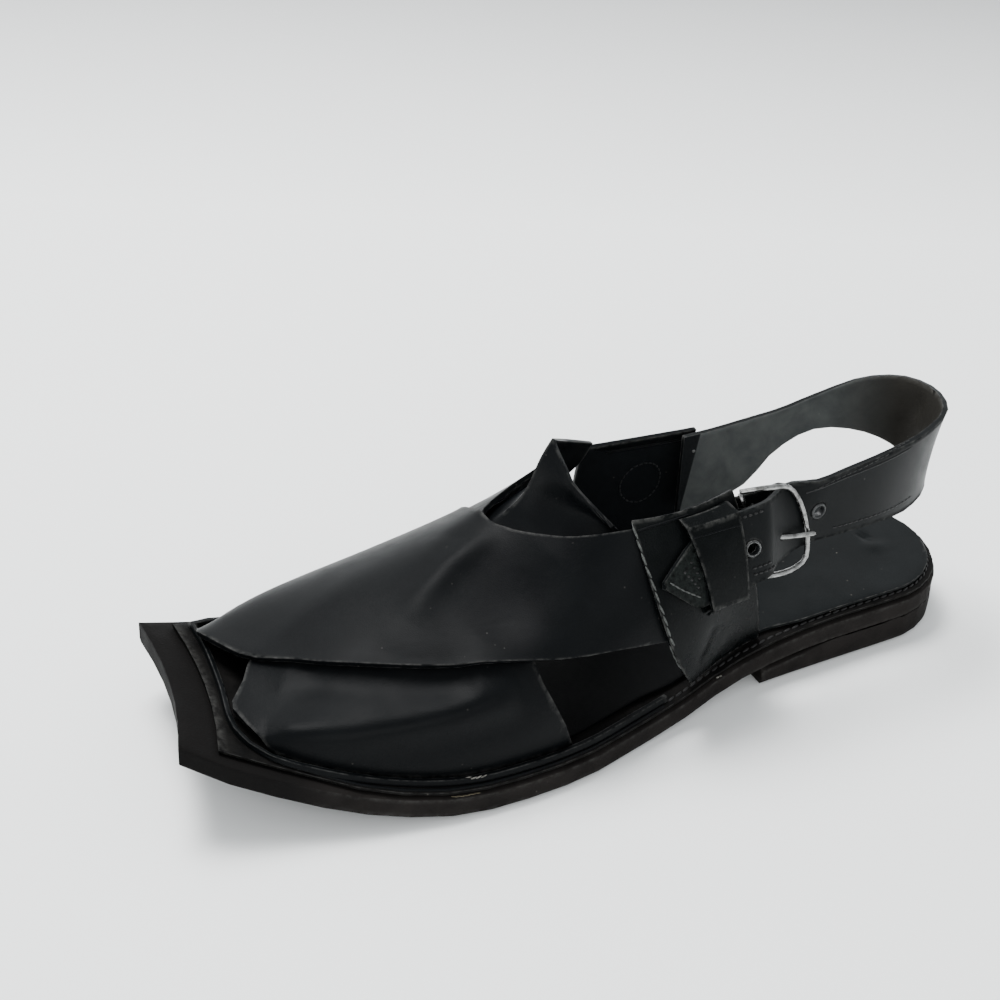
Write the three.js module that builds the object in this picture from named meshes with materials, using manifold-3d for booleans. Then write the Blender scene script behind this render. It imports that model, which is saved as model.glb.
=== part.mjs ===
// A peshawari chappal for the left foot, in millimetres.
// +Y runs from the heel to the toe, +X to the inner side of the foot, +Z up, and the floor is z = 0.
import * as THREE from "three";
import { mergeVertices } from "three/addons/utils/BufferGeometryUtils.js";
import Module from "manifold-3d";

const wasm = await Module();
wasm.setup();
const { lerp, clamp, smoothstep } = THREE.MathUtils;

// Driving sizes of the sole
const LENGTH = 300;
const BALL_WIDTH = 112;
const HEEL_WIDTH = 70;
const HEEL_LIFT = 9.5;
const HEEL_BREAST = 92;
const ARCH_START = 60;
const ARCH_END = 155;
const SPRING_START = 205;
const TOE_SPRING = 26;
const TOE_SKEW = 9;
const TOE_SAG = 4;
const OUTSOLE = 8;
const MIDSOLE = 1.7;
const INSOLE = 2;
const GAP = 0.3;
const EDGE_BEVEL = 1.1;
const MIDSOLE_BACK = 10;
const INSOLE_BACK = 24;
const RAND_BACK = 15.5;
const RAND_WIDTH = 2.6;
const RAND_HEIGHT = 2.2;
const RAND_START = 0.453 * LENGTH;
const RAND_TURN = 0.913 * LENGTH;
const RAND_CLEAR = 0.7;
const CORNER_CLEAR = 1.8;

// Driving sizes of the upper
const INSTEP_HEIGHT = 62;
const PANEL = 1.8;
const CROSSING = 1.2;
const LIP = 2.2;
const QUARTER = 1.8;
const STRAP = 1.9;
const ANKLE_HEIGHT = 86;
const BUCKLE_LENGTH = 24;
const WIRE = 1.9;
const EYELET_OUTER = 3;
const EYELET_INNER = 2;
const TONGUE_THICK = 1.3;
const TONGUE_DEPTH = 1.65;
const NECK_DEPTH = 5.6;
const KEEPER_THICK = 1.2;
const CHAPE_THICK = 1;
const GUARD_THICK = 1.3;
const GUARD_TUCK = -4.2;

// Places on the foot's outer side, as shares of the length and of the ankle height
const BAR_LOW = { along: 0.342, up: 0.564 };
const BAR_HIGH = { along: 0.362, up: 0.907 };
const KEEPER_EDGES = { middle: 0.72, front: 0.432, rear: 0.377, dip: 0.16 };
const KEEPER_SLANTS = { front: 0.18, rear: 0.06 };
const CHAPE_EDGES = { low: 0.593, high: 0.855 };
const GUARD_EDGES = { low: 0.628, high: 0.884, front: 0.4, end: 0.263 };
const QUARTER_RISE = { from: 0.327, to: 0.437 };

// Corners of the quarters: the front edge from its foot to its top, and the rear edge; the bow is
// how far an edge's middle stands forward of a straight line
const LATERAL_CORNERS = {
  front: { footAlong: 0.424, footUp: 0.18, topAlong: 0.484, topUp: 0.849, bow: 0.022 },
  rear: { footAlong: 0.31, footUp: 0.214, topAlong: 0.368, topUp: 0.919, bow: 0 },
};
const MEDIAL_CORNERS = {
  front: { footAlong: 0.423, footUp: 0.158, topAlong: 0.447, topUp: 0.814, bow: 0.01 },
  rear: { footAlong: 0.307, footUp: 0.216, topAlong: 0.287, topUp: 0.773, bow: 0 },
};

// The sole's edge as shares of its length and ball width, from the heel's round end to the toe
const OUTLINE = [
  { at: 0.117, lateral: 0.3125, medial: 0.3125 },
  { at: 0.25, lateral: 0.339, medial: 0.295 },
  { at: 0.317, lateral: 0.357, medial: 0.277 },
  { at: 0.37, lateral: 0.384, medial: 0.27 },
  { at: 0.433, lateral: 0.4375, medial: 0.28 },
  { at: 0.497, lateral: 0.484, medial: 0.317 },
  { at: 0.557, lateral: 0.536, medial: 0.362 },
  { at: 0.61, lateral: 0.562, medial: 0.402 },
  { at: 0.66, lateral: 0.571, medial: 0.424 },
  { at: 0.707, lateral: 0.571, medial: 0.434 },
  { at: 0.75, lateral: 0.56, medial: 0.436 },
  { at: 0.833, lateral: 0.51, medial: 0.42 },
  { at: 0.91, lateral: 0.437, medial: 0.38 },
  { at: 0.955, lateral: 0.392, medial: 0.348 },
  { at: 0.985, lateral: 0.356, medial: 0.325 },
  { at: 1, lateral: 0.325, medial: 0.32 },
];

// How far the welt, the insole and the rand stay inside the sole's edge, as shares of the ball width
const RIMS = [
  { at: 0, welt: 0.008, insole: 0.0286, rand: 0.0375 },
  { at: 0.25, welt: 0.008, insole: 0.0295, rand: 0.0375 },
  { at: 0.3, welt: 0.008, insole: 0.0589, rand: 0.0375 },
  { at: 0.42, welt: 0.008, insole: 0.0625, rand: 0.0375 },
  { at: 0.46, welt: 0.008, insole: 0.0804, rand: 0.0375 },
  { at: 0.68, welt: 0.008, insole: 0.0804, rand: 0.0375 },
  { at: 0.79, welt: 0.0089, insole: 0.092, rand: 0.0464 },
  { at: 0.85, welt: 0.0223, insole: 0.1071, rand: 0.0518 },
  { at: 0.89, welt: 0.0393, insole: 0.1339, rand: 0.0607 },
  { at: 0.92, welt: 0.0411, insole: 0.1607, rand: 0.0804 },
  { at: 0.94, welt: 0.0411, insole: 0.1964, rand: 0.125 },
  { at: 1, welt: 0.0411, insole: 0.2143, rand: 0.1429 },
];

// Sections of the foot form under the leather: the ridge, and how each side bends down from it
const FORM = [
  { at: 0.27, ridge: -0.06, height: 1.8, rise: 0.3, lean: 0.07, reach: 1.1, drop: 0.2 },
  { at: 0.37, ridge: -0.055, height: 1.72, rise: 0.32, lean: 0.09, reach: 1.12, drop: 0.22 },
  { at: 0.477, ridge: -0.02, height: 1.42, rise: 0.36, lean: 0.09, reach: 1, drop: 0.13 },
  { at: 0.55, ridge: 0.02, height: 1.17, rise: 0.5, lean: 0.06, reach: 0.87, drop: 0.17 },
  { at: 0.625, ridge: 0.045, height: 0.97, rise: 0.64, lean: 0.03, reach: 0.79, drop: 0.22 },
  { at: 0.715, ridge: 0.03, height: 0.8, rise: 0.66, lean: 0.02, reach: 0.8, drop: 0.2 },
  { at: 0.78, ridge: 0.015, height: 0.7, rise: 0.68, lean: 0.01, reach: 0.8, drop: 0.16 },
  { at: 0.837, ridge: 0.005, height: 0.58, rise: 0.8, lean: 0, reach: 0.8, drop: 0.12 },
  { at: 0.883, ridge: -0.015, height: 0.475, rise: 0.9, lean: -0.01, reach: 0.8, drop: 0.1 },
  { at: 0.92, ridge: -0.03, height: 0.465, rise: 0.9, lean: -0.01, reach: 0.8, drop: 0.1 },
];

// A crossing panel from its lasted edge at the forefoot to the ankle: along the foot, and across it
// from 1 at its own side of the sole over 0 at the ridge to the other side
const PANEL_EDGES = [
  { at: 0, front: 0.898, frontAcross: 1, rear: 0.565, rearAcross: 1 },
  { at: 0.15, front: 0.917, frontAcross: 0.6, rear: 0.583, rearAcross: 0.62 },
  { at: 0.3, front: 0.895, frontAcross: 0.12, rear: 0.598, rearAcross: 0.25 },
  { at: 0.42, front: 0.85, frontAcross: -0.11, rear: 0.601, rearAcross: 0 },
  { at: 0.55, front: 0.787, frontAcross: -0.29, rear: 0.59, rearAcross: -0.07 },
  { at: 0.68, front: 0.707, frontAcross: -0.42, rear: 0.568, rearAcross: -0.135 },
  { at: 0.8, front: 0.61, frontAcross: -0.57, rear: 0.54, rearAcross: -0.205 },
  { at: 0.9, front: 0.543, frontAcross: -0.63, rear: 0.507, rearAcross: -0.265 },
  { at: 1, front: 0.46, frontAcross: -0.71, rear: 0.47, rearAcross: -0.315 },
];

// The lower, lateral panel reaches further into the toe, to a corner against the rand, and ends
// sooner towards the heel
const LOWER_ROWS = [
  { front: 0.902, frontAcross: 1, rear: 0.585 },
  { front: 0.925, frontAcross: 0.35, rear: 0.622 },
  { front: 0.892, frontAcross: 0.02, rear: 0.615 },
];
const LOWER_EDGES = PANEL_EDGES.map((row, k) => ({ ...row, ...LOWER_ROWS[k] }));

// The heel strap from the inner quarter round the heel to the buckle, its outer face
const STRAP_PATH = [
  { across: 0.335, along: 0.315, top: 0.79, bottom: 0.42, lean: 0 },
  { across: 0.33, along: 0.275, top: 0.8, bottom: 0.44, lean: 0 },
  { across: 0.315, along: 0.225, top: 0.825, bottom: 0.51, lean: 0 },
  { across: 0.295, along: 0.187, top: 0.85, bottom: 0.66, lean: 0 },
  { across: 0.27, along: 0.14, top: 0.9, bottom: 0.74, lean: 0.5 },
  { across: 0.21, along: 0.083, top: 0.965, bottom: 0.73, lean: 2 },
  { across: 0.09, along: 0.043, top: 0.99, bottom: 0.69, lean: 3 },
  { across: -0.1, along: 0.03, top: 0.995, bottom: 0.65, lean: 3.5 },
  { across: -0.3, along: 0.048, top: 0.99, bottom: 0.625, lean: 3.5 },
  { across: -0.44, along: 0.1, top: 0.98, bottom: 0.615, lean: 2.5 },
  { across: -0.51, along: 0.16, top: 0.965, bottom: 0.635, lean: 1 },
  { across: -0.535, along: 0.22, top: 0.94, bottom: 0.645, lean: 0 },
  { across: -0.545, along: 0.262, top: 0.92, bottom: 0.645, lean: 0 },
];

// The middle of the heel, which the strap leans towards
const STRAP_CENTRE = { across: -0.1, along: 0.133 };

// The free end of the heel strap over the outer quarter, to its pointed tip: it lies on the quarter
// where its stand is 0, and on the chape where it is 1
const STRAP_END = [
  { at: 0.3, top: 0.9, bottom: 0.635, stand: 0.43 },
  { at: 0.325, top: 0.88, bottom: 0.62, stand: 1.05 },
  { at: 0.343, top: 0.873, bottom: 0.603, stand: 1.7 },
  { at: 0.373, top: 0.853, bottom: 0.582, stand: 1 },
  { at: 0.398, top: 0.84, bottom: 0.573, stand: 0.4 },
  { at: 0.42, top: 0.815, bottom: 0.565, stand: 0.14 },
  { at: 0.437, top: 0.78, bottom: 0.565, stand: 0.12 },
  { at: 0.474, top: 0.672, bottom: 0.652, stand: 0.12 },
];

// The tongue from its lateral edge to its medial one: where it starts on the form, where it bends,
// and its free edge, as shares of length, heel width and ankle height
const TONGUE = [
  { at: -1, base: 0.55, baseAcross: -0.42, neck: 0.47, neckAcross: -0.33 },
  { at: -0.5, base: 0.6, baseAcross: -0.24, neck: 0.488, neckAcross: -0.175 },
  { at: 0, base: 0.64, baseAcross: 0, neck: 0.54, neckAcross: 0 },
  { at: 0.5, base: 0.6, baseAcross: 0.24, neck: 0.488, neckAcross: 0.175 },
  { at: 1, base: 0.55, baseAcross: 0.42, neck: 0.472, neckAcross: 0.33 },
];
const TONGUE_EDGE = [
  { bendAcross: -0.41, bendAlong: 0.5, bendUp: 0.8, edgeAcross: -0.4, edgeAlong: 0.505, edgeUp: 0.835 },
  { bendAcross: -0.26, bendAlong: 0.545, bendUp: 0.87, edgeAcross: -0.23, edgeAlong: 0.535, edgeUp: 0.98 },
  { bendAcross: -0.05, bendAlong: 0.576, bendUp: 0.93, edgeAcross: -0.043, edgeAlong: 0.538, edgeUp: 1.093 },
  { bendAcross: 0.15, bendAlong: 0.535, bendUp: 0.89, edgeAcross: 0.12, edgeAlong: 0.5, edgeUp: 0.995 },
  { bendAcross: 0.28, bendAlong: 0.46, bendUp: 0.8, edgeAcross: 0.26, edgeAlong: 0.45, edgeUp: 0.89 },
];
TONGUE.forEach((row, k) => Object.assign(row, TONGUE_EDGE[k]));

// The keeper from its lower foot to its upper one, and how far it stands over the strap
const KEEPER = [
  { up: 0.51, stand: 0 },
  { up: 0.53, stand: 0.5 },
  { up: 0.545, stand: 1 },
  { up: 0.62, stand: 1 },
  { up: 0.71, stand: 1 },
  { up: 0.79, stand: 1 },
  { up: 0.856, stand: 1 },
  { up: 0.871, stand: 0.5 },
  { up: 0.888, stand: 0 },
];

// The chape from before the bar to behind it, in wire widths, and how far it stands over the wire
const CHAPE = [
  { ahead: 2.1, stand: 0 },
  { ahead: 1.5, stand: 0.35 },
  { ahead: 0.7, stand: 1 },
  { ahead: -0.7, stand: 1 },
  { ahead: -1.5, stand: 0.35 },
  { ahead: -2.2, stand: 0 },
];

// The frame's wire from the bar's low end round the far side to its high end: it is over the bar's
// place where its stand is 0, and just over the strap where it is 1
const BUCKLE = [
  { back: 0, up: 0, stand: 0 },
  { back: 0.4, up: 0.005, stand: 0.5 },
  { back: 0.72, up: 0.02, stand: 0.8 },
  { back: 0.86, up: 0.09, stand: 1 },
  { back: 0.9, up: 0.3, stand: 1 },
  { back: 0.9, up: 0.55, stand: 1 },
  { back: 0.86, up: 0.78, stand: 1 },
  { back: 0.74, up: 0.97, stand: 0.9 },
  { back: 0.4, up: 1.05, stand: 0.5 },
  { back: 0, up: 1, stand: 0 },
];

// Where the strap is pierced along the foot
const EYELETS = [
  { along: 0.359 },
  { along: 0.257 },
];

// Colours, for telling the pieces apart
const COLOURS = {
  leather: 0x14171a,
  lining: 0x3c4044,
  sole: 0x2a2420,
  metal: 0xc9ccd0,
};

// Number of the row's column at a place between its rows, on a smooth curve through them
function follow(table, column, at) {
  const last = table.length - 1;
  let i = 0;
  while (i < last - 1 && at > table[i + 1].at) i += 1;
  const slope = (k) => {
    const before = table[Math.max(k - 1, 0)];
    const after = table[Math.min(k + 1, last)];
    return (after[column] - before[column]) / (after.at - before.at);
  };
  const from = table[i];
  const to = table[i + 1];
  const span = to.at - from.at;
  const t = clamp((at - from.at) / span, 0, 1);
  const bend = slope(i) * span * (t - 2 * t * t + t ** 3) + slope(i + 1) * span * (t ** 3 - t * t);
  return lerp(from[column], to[column], 3 * t * t - 2 * t ** 3) + bend;
}

// The same on straight stretches between the rows
function between(table, column, at) {
  let i = 0;
  while (i < table.length - 2 && at > table[i + 1].at) i += 1;
  const t = clamp((at - table[i].at) / (table[i + 1].at - table[i].at), 0, 1);
  return lerp(table[i][column], table[i + 1][column], t);
}

// A closed body between two faces: each row holds pairs of points, the low face and the high one
function slab(rows) {
  const across = rows[0].length;
  const points = [];
  for (const row of rows) {
    for (const [low, high] of row) points.push(...low.toArray(), ...high.toArray());
  }
  const low = (i, j) => 2 * (i * across + j);
  const high = (i, j) => low(i, j) + 1;
  const faces = [];
  const quad = (a, b, c, d) => faces.push(a, b, c, a, c, d);
  const end = rows.length - 1;
  const side = across - 1;
  for (let i = 0; i < end; i += 1) {
    for (let j = 0; j < side; j += 1) {
      quad(high(i, j), high(i, j + 1), high(i + 1, j + 1), high(i + 1, j));
      quad(low(i, j), low(i + 1, j), low(i + 1, j + 1), low(i, j + 1));
    }
    quad(low(i, 0), high(i, 0), high(i + 1, 0), low(i + 1, 0));
    quad(high(i, side), low(i, side), low(i + 1, side), high(i + 1, side));
  }
  for (let j = 0; j < side; j += 1) {
    quad(low(0, j), low(0, j + 1), high(0, j + 1), high(0, j));
    quad(high(end, j), high(end, j + 1), low(end, j + 1), low(end, j));
  }
  const made = new THREE.BufferGeometry();
  made.setAttribute("position", new THREE.Float32BufferAttribute(points, 3));
  made.setIndex(faces);
  return solidOf(made);
}

// The geometry as a solid that can be joined and cut, turned outward if it faces in
function solidOf(geometry) {
  const bare = geometry.clone();
  bare.deleteAttribute("normal");
  bare.deleteAttribute("uv");
  const merged = mergeVertices(bare, 1e-3);
  const vertProperties = merged.attributes.position.array;
  const triVerts = new Uint32Array(merged.index.array);
  const made = new wasm.Manifold(new wasm.Mesh({ numProp: 3, vertProperties, triVerts }));
  if (made.volume() > 0) return made;
  for (let i = 0; i < triVerts.length; i += 3) {
    [triVerts[i + 1], triVerts[i + 2]] = [triVerts[i + 2], triVerts[i + 1]];
  }
  return new wasm.Manifold(new wasm.Mesh({ numProp: 3, vertProperties, triVerts }));
}

// A round wire along a smooth curve through the points
function wire(points, radius, steps, sides = 4) {
  const circle = new THREE.Shape();
  circle.absarc(0, 0, radius, 0, 2 * Math.PI);
  const extrudePath = new THREE.CatmullRomCurve3(points, false, "centripetal");
  const curveSegments = sides;
  const settings = { steps, extrudePath, curveSegments, bevelEnabled: false };
  return solidOf(new THREE.ExtrudeGeometry(circle, settings));
}

// Height of the outsole's underside: a raised arch behind the ball and the toe spring before it
function underside(y) {
  const arch = HEEL_LIFT * (1 - smoothstep(y, ARCH_START, ARCH_END));
  const ahead = Math.max(0, (y - SPRING_START) / (LENGTH - SPRING_START));
  return arch + TOE_SPRING * ahead ** 1.8;
}

const midsoleTop = (y) => underside(y) + OUTSOLE + GAP + MIDSOLE;

// Half width of the sole on one side, -1 lateral and 1 medial
function halfWidth(side, y) {
  return BALL_WIDTH * follow(OUTLINE, side < 0 ? "lateral" : "medial", y / LENGTH);
}

// Point of the sole's edge on one side, from 0 at the back of the heel to 1 at the toe horn
const HEEL_SHARE = 0.22;
function edgePoint(side, share) {
  const radius = HEEL_WIDTH / 2;
  if (share < HEEL_SHARE) {
    const turn = ((share / HEEL_SHARE) * Math.PI) / 2;
    return new THREE.Vector2(side * radius * Math.sin(turn), radius - radius * Math.cos(turn));
  }
  const end = side < 0 ? LENGTH : LENGTH - TOE_SKEW;
  const y = lerp(radius, end, (share - HEEL_SHARE) / (1 - HEEL_SHARE));
  return new THREE.Vector2(side * halfWidth(side, y), y);
}

// The same point moved square to the edge, into the sole
function insetPoint(side, share, inset) {
  const step = 0.01;
  const along = edgePoint(side, Math.min(share + step, 1));
  along.sub(edgePoint(side, Math.max(share - step, 0))).normalize();
  const inward = new THREE.Vector2(-side * along.y, side * along.x);
  return edgePoint(side, share).addScaledVector(inward, inset);
}

// Share of the edge at a place along the foot
function shareAt(y) {
  const radius = HEEL_WIDTH / 2;
  return HEEL_SHARE + ((1 - HEEL_SHARE) * (y - radius)) / (LENGTH - radius);
}

// How far a rim stays inside the sole's edge at a place along the foot
function rimInset(rim, y) {
  return BALL_WIDTH * follow(RIMS, rim, y / LENGTH);
}

// A row across the sole: evenly spread between its two edges, with a narrow bevel beside each
const ACROSS = 6;
function soleRow(share, rim, under, over) {
  const inset = typeof rim === "string" ? rimInset(rim, edgePoint(-1, share).y) : rim;
  const left = insetPoint(-1, share, inset);
  const right = insetPoint(1, share, inset);
  const sag = TOE_SAG * smoothstep(share, 0.85, 1);
  const bevel = EDGE_BEVEL / left.distanceTo(right);
  const shares = [0];
  for (let k = 0; k <= ACROSS; k += 1) shares.push(lerp(bevel, 1 - bevel, k / ACROSS));
  shares.push(1);
  return shares.map((t, k) => {
    const spot = left.clone().lerp(right, t);
    spot.y -= sag * 4 * t * (1 - t);
    const atEdge = k === 0 || k === shares.length - 1;
    const round = atEdge ? Math.min(EDGE_BEVEL, (over(spot.y) - under(spot.y)) / 3) : 0;
    const low = new THREE.Vector3(spot.x, spot.y, under(spot.y) + round);
    return [low, new THREE.Vector3(spot.x, spot.y, over(spot.y) - 0.7 * round)];
  });
}

// A layer of the sole between two heights, from the heel to a place along the foot
function soleLayer(rim, end, under, over) {
  const rows = [];
  const heelRows = 7;
  const restRows = Math.max(4, Math.round(25 * (shareAt(end) - HEEL_SHARE)));
  for (let k = 0; k < heelRows; k += 1) rows.push(lerp(0.02, HEEL_SHARE, k / heelRows));
  for (let k = 0; k <= restRows; k += 1) rows.push(lerp(HEEL_SHARE, shareAt(end), k / restRows));
  return slab(rows.map((share) => soleRow(share, rim, under, over)));
}

const outsole = () => soleLayer(0, LENGTH, underside, (y) => underside(y) + OUTSOLE);
const heelLift = () => soleLayer(0.4, HEEL_BREAST, () => 0, (y) => underside(y) - GAP);
const onOutsole = (y) => underside(y) + OUTSOLE + GAP;
const midsole = () => soleLayer("welt", LENGTH - MIDSOLE_BACK, onOutsole, midsoleTop);
const onMidsole = (y) => midsoleTop(y) + GAP;
const insole = () => soleLayer("insole", LENGTH - INSOLE_BACK, onMidsole, (y) => onMidsole(y) + INSOLE);

// How far the rand's middle lies from the foot's long axis on one side
function randAcross(side, y) {
  return halfWidth(side, y) - rimInset("rand", y);
}

// The raised rand round the forefoot, a half round on the midsole
function rand() {
  const path = [];
  const side = (which, k) => {
    const y = lerp(RAND_START, RAND_TURN, k / 9);
    return new THREE.Vector3(which * randAcross(which, y), y, 0);
  };
  for (let k = 0; k <= 9; k += 1) path.push(side(-1, k));
  const corner = RAND_BACK - RAND_WIDTH;
  const left = insetPoint(-1, shareAt(LENGTH - RAND_BACK), corner);
  const right = insetPoint(1, shareAt(LENGTH - RAND_BACK), corner);
  for (const t of [0.06, 0.5, 0.94]) {
    path.push(new THREE.Vector3(lerp(left.x, right.x, t), lerp(left.y, right.y, t) - 3 * t * (1 - t), 0));
  }
  for (let k = 9; k >= 0; k -= 1) path.push(side(1, k));
  const curve = new THREE.CatmullRomCurve3(path, false, "centripetal");
  const steps = 46;
  const rows = [];
  for (let i = 0; i <= steps; i += 1) {
    const centre = curve.getPointAt(i / steps);
    const along = curve.getTangentAt(i / steps);
    const out = new THREE.Vector3(along.y, -along.x, 0);
    rows.push(
      [-1, -0.55, 0.55, 1].map((k) => {
        const low = centre.clone().addScaledVector(out, (k * RAND_WIDTH) / 2);
        low.z = midsoleTop(low.y) + GAP;
        const crown = 0.3 + (RAND_HEIGHT - 0.3) * Math.sqrt(1 - k * k);
        return [low, low.clone().setZ(low.z + crown)];
      }),
    );
  }
  return slab(rows);
}

// Point of the foot form at a place along the foot: 0 at the sole's edge and 1 on the ridge
function form(side, y, up) {
  const at = y / LENGTH;
  const section = (column) => follow(FORM, column, at);
  const slant = (randAcross(side, y + 1) - randAcross(side, y - 1)) / 2;
  const corner = CORNER_CLEAR * smoothstep(y, RAND_TURN - 14, RAND_TURN);
  const inside = (RAND_WIDTH / 2 + RAND_CLEAR + PANEL + corner) * Math.hypot(1, slant);
  const foot = new THREE.Vector2(side * (randAcross(side, y) - inside), midsoleTop(y) + GAP);
  const ridge = new THREE.Vector2(section("ridge") * BALL_WIDTH, section("height") * INSTEP_HEIGHT);
  const tall = ridge.y - foot.y;
  const reach = ridge.x + (foot.x - ridge.x) * section("reach");
  const curve = new THREE.CubicBezierCurve(
    foot,
    new THREE.Vector2(foot.x + side * section("lean") * BALL_WIDTH, foot.y + tall * section("rise")),
    new THREE.Vector2(reach, ridge.y - tall * section("drop")),
    ridge,
  );
  const spot = curve.getPoint(up);
  return new THREE.Vector3(spot.x, y, spot.y);
}

// Point over the form, moved out along its normal; across runs from -1 lateral to 1 medial
function over(y, across, lift) {
  const on = (yy, a) => form(a < 0 ? -1 : 1, yy, 1 - Math.abs(a));
  const step = 0.02;
  const aside = on(y, clamp(across + step, -1, 1)).sub(on(y, clamp(across - step, -1, 1)));
  const ahead = on(y + 2, across).sub(on(y - 2, across));
  return on(y, across).addScaledVector(aside.cross(ahead).normalize(), lift);
}

// Point over the form at a height, moved out by the lift
function hug(side, y, z, lift) {
  let low = 0;
  let high = 1;
  for (let k = 0; k < 24; k += 1) {
    const middle = (low + high) / 2;
    if (form(side, y, middle).z < z) low = middle;
    else high = middle;
  }
  return over(y, side * (1 - low), lift);
}

// One of the two crossing panels; its own side is 1 for the medial one, which lies on top
function panel(own, lift) {
  const rows = [];
  const steps = 22;
  const columns = 14;
  for (let i = 0; i <= steps; i += 1) {
    const at = i / steps;
    const get = (column) => follow(own > 0 ? PANEL_EDGES : LOWER_EDGES, column, at);
    const row = [];
    for (let j = 0; j <= columns; j += 1) {
      const t = j / columns;
      const y = LENGTH * lerp(get("front"), get("rear"), t);
      const across = own * clamp(lerp(get("frontAcross"), get("rearAcross"), t), -1, 1);
      const lifted = smoothstep(at, 0.2, 0.5) * (1 - smoothstep(at, 0.75, 0.97));
      const lip = LIP * lifted * Math.max(0, 1 - 2.5 * t) ** 2;
      const rise = lift * smoothstep(at, 0.02, 0.2) + (own > 0 ? lip : 0);
      row.push([over(y, across, rise), over(y, across, rise + PANEL)]);
    }
    rows.push(row);
  }
  return slab(rows);
}

// The upper: both panels, joined where they cross
const upper = () => panel(-1, 0).add(panel(1, CROSSING));

// A sheet on one side of the foot between the corners of its front and rear edges
function patch(side, corners, lift, thickness, columns = 10, rowsUp = 12) {
  const rows = [];
  const { front, rear } = corners;
  for (let i = 0; i <= rowsUp; i += 1) {
    const up = i / rowsUp;
    const row = [];
    for (let j = 0; j <= columns; j += 1) {
      const t = j / columns;
      const spot = (foot, top) => lerp(lerp(front[foot], front[top], up), lerp(rear[foot], rear[top], up), t);
      const bow = 4 * up * (1 - up) * lerp(front.bow, rear.bow, t);
      const y = LENGTH * (spot("footAlong", "topAlong") + bow);
      const z = ANKLE_HEIGHT * spot("footUp", "topUp");
      row.push([hug(side, y, z, lift(y)), hug(side, y, z, lift(y) + thickness)]);
    }
    rows.push(row);
  }
  return slab(rows);
}

// How far the outer quarter and what lies on it stand off the foot form, place by place
function quarterLift(y) {
  const ahead = smoothstep(y / LENGTH, QUARTER_RISE.from, QUARTER_RISE.to);
  return lerp(CROSSING, CROSSING + PANEL + GAP, ahead);
}

const onQuarter = (y) => quarterLift(y) + QUARTER + GAP;
const overChape = CHAPE_THICK + WIRE + 2 * GAP;
const strapLift = (at) => onQuarter(at * LENGTH) + follow(STRAP_END, "stand", at) * overChape;

const quarterLateral = () => patch(-1, LATERAL_CORNERS, quarterLift, QUARTER);
const quarterMedial = () => patch(1, MEDIAL_CORNERS, () => PANEL + GAP, QUARTER);

// The tongue: a leaf folded along its middle, from under the crossing up to a point
function tongue() {
  const rows = [];
  const steps = 16;
  const columns = 10;
  for (let i = 0; i <= steps; i += 1) {
    const at = -1 + (2 * i) / steps;
    const get = (column) => between(TONGUE, column, at);
    const base = over(LENGTH * follow(TONGUE, "base", at), follow(TONGUE, "baseAcross", at), -TONGUE_DEPTH);
    const neck = over(LENGTH * follow(TONGUE, "neck", at), follow(TONGUE, "neckAcross", at), -NECK_DEPTH);
    const spot = (name) =>
      new THREE.Vector3(
        get(name + "Across") * HEEL_WIDTH,
        get(name + "Along") * LENGTH,
        get(name + "Up") * ANKLE_HEIGHT,
      );
    const curve = new THREE.CubicBezierCurve3(base, neck, spot("bend"), spot("edge"));
    rows.push(curve.getPoints(columns));
  }
  return slab(thicken(rows, TONGUE_THICK));
}

// Rows of points given a thickness on their inner side
function thicken(rows, thickness) {
  const last = rows.length - 1;
  return rows.map((row, i) =>
    row.map((spot, j) => {
      const ahead = rows[Math.min(i + 1, last)][j].clone().sub(rows[Math.max(i - 1, 0)][j]);
      const aside = row[Math.min(j + 1, row.length - 1)].clone().sub(row[Math.max(j - 1, 0)]);
      const inward = ahead.cross(aside).normalize();
      return [spot.clone().addScaledVector(inward, thickness), spot];
    }),
  );
}

// Five curves along the strap, from its lower edge to its upper one, through every station
function strapCurves() {
  const shares = [0, 0.25, 0.5, 0.75, 1];
  return shares.map((t) => {
    const stations = STRAP_PATH.map((row) => {
      const spot = new THREE.Vector3(row.across * HEEL_WIDTH, row.along * LENGTH, 0);
      const centre = new THREE.Vector3(STRAP_CENTRE.across * HEEL_WIDTH, STRAP_CENTRE.along * LENGTH, 0);
      const inward = centre.sub(spot).normalize();
      spot.addScaledVector(inward, row.lean * (1 - t * t));
      return spot.setZ(lerp(row.bottom, row.top, t) * ANKLE_HEIGHT);
    });
    for (const row of STRAP_END) {
      const y = row.at * LENGTH;
      const z = lerp(row.bottom, row.top, t) * ANKLE_HEIGHT;
      stations.push(hug(-1, y, z, strapLift(row.at) + STRAP));
    }
    return new THREE.CatmullRomCurve3(stations, false, "centripetal");
  });
}

// The heel strap with its pierced, pointed end
function heelStrap() {
  const curves = strapCurves();
  const steps = 50;
  const rows = [];
  for (let i = 0; i <= steps; i += 1) rows.push(curves.map((curve) => curve.getPoint(i / steps)));
  let strap = slab(thicken(rows, STRAP));
  for (const hole of EYELETS) strap = strap.subtract(pin(hole, EYELET_OUTER + GAP, 4));
  return strap.subtract(prongWire(WIRE * 0.5 + GAP));
}

// Place on the strap's outer face over a pierced hole, and the way out of it
function pierced(hole) {
  const curves = strapCurves();
  let best = 0;
  const middle = curves[2];
  for (let k = 0; k <= 400; k += 1) {
    const spot = middle.getPoint(k / 400);
    const isOuter = k > 220 && Math.abs(spot.y - hole.along * LENGTH) < 0.5;
    if (isOuter) best = k / 400;
  }
  const spot = middle.getPoint(best);
  const along = middle.getTangent(best);
  const up = curves[3].getPoint(best).sub(curves[1].getPoint(best));
  const out = along.cross(up).normalize();
  if (out.x > 0) out.negate();
  return { spot, out };
}

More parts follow.
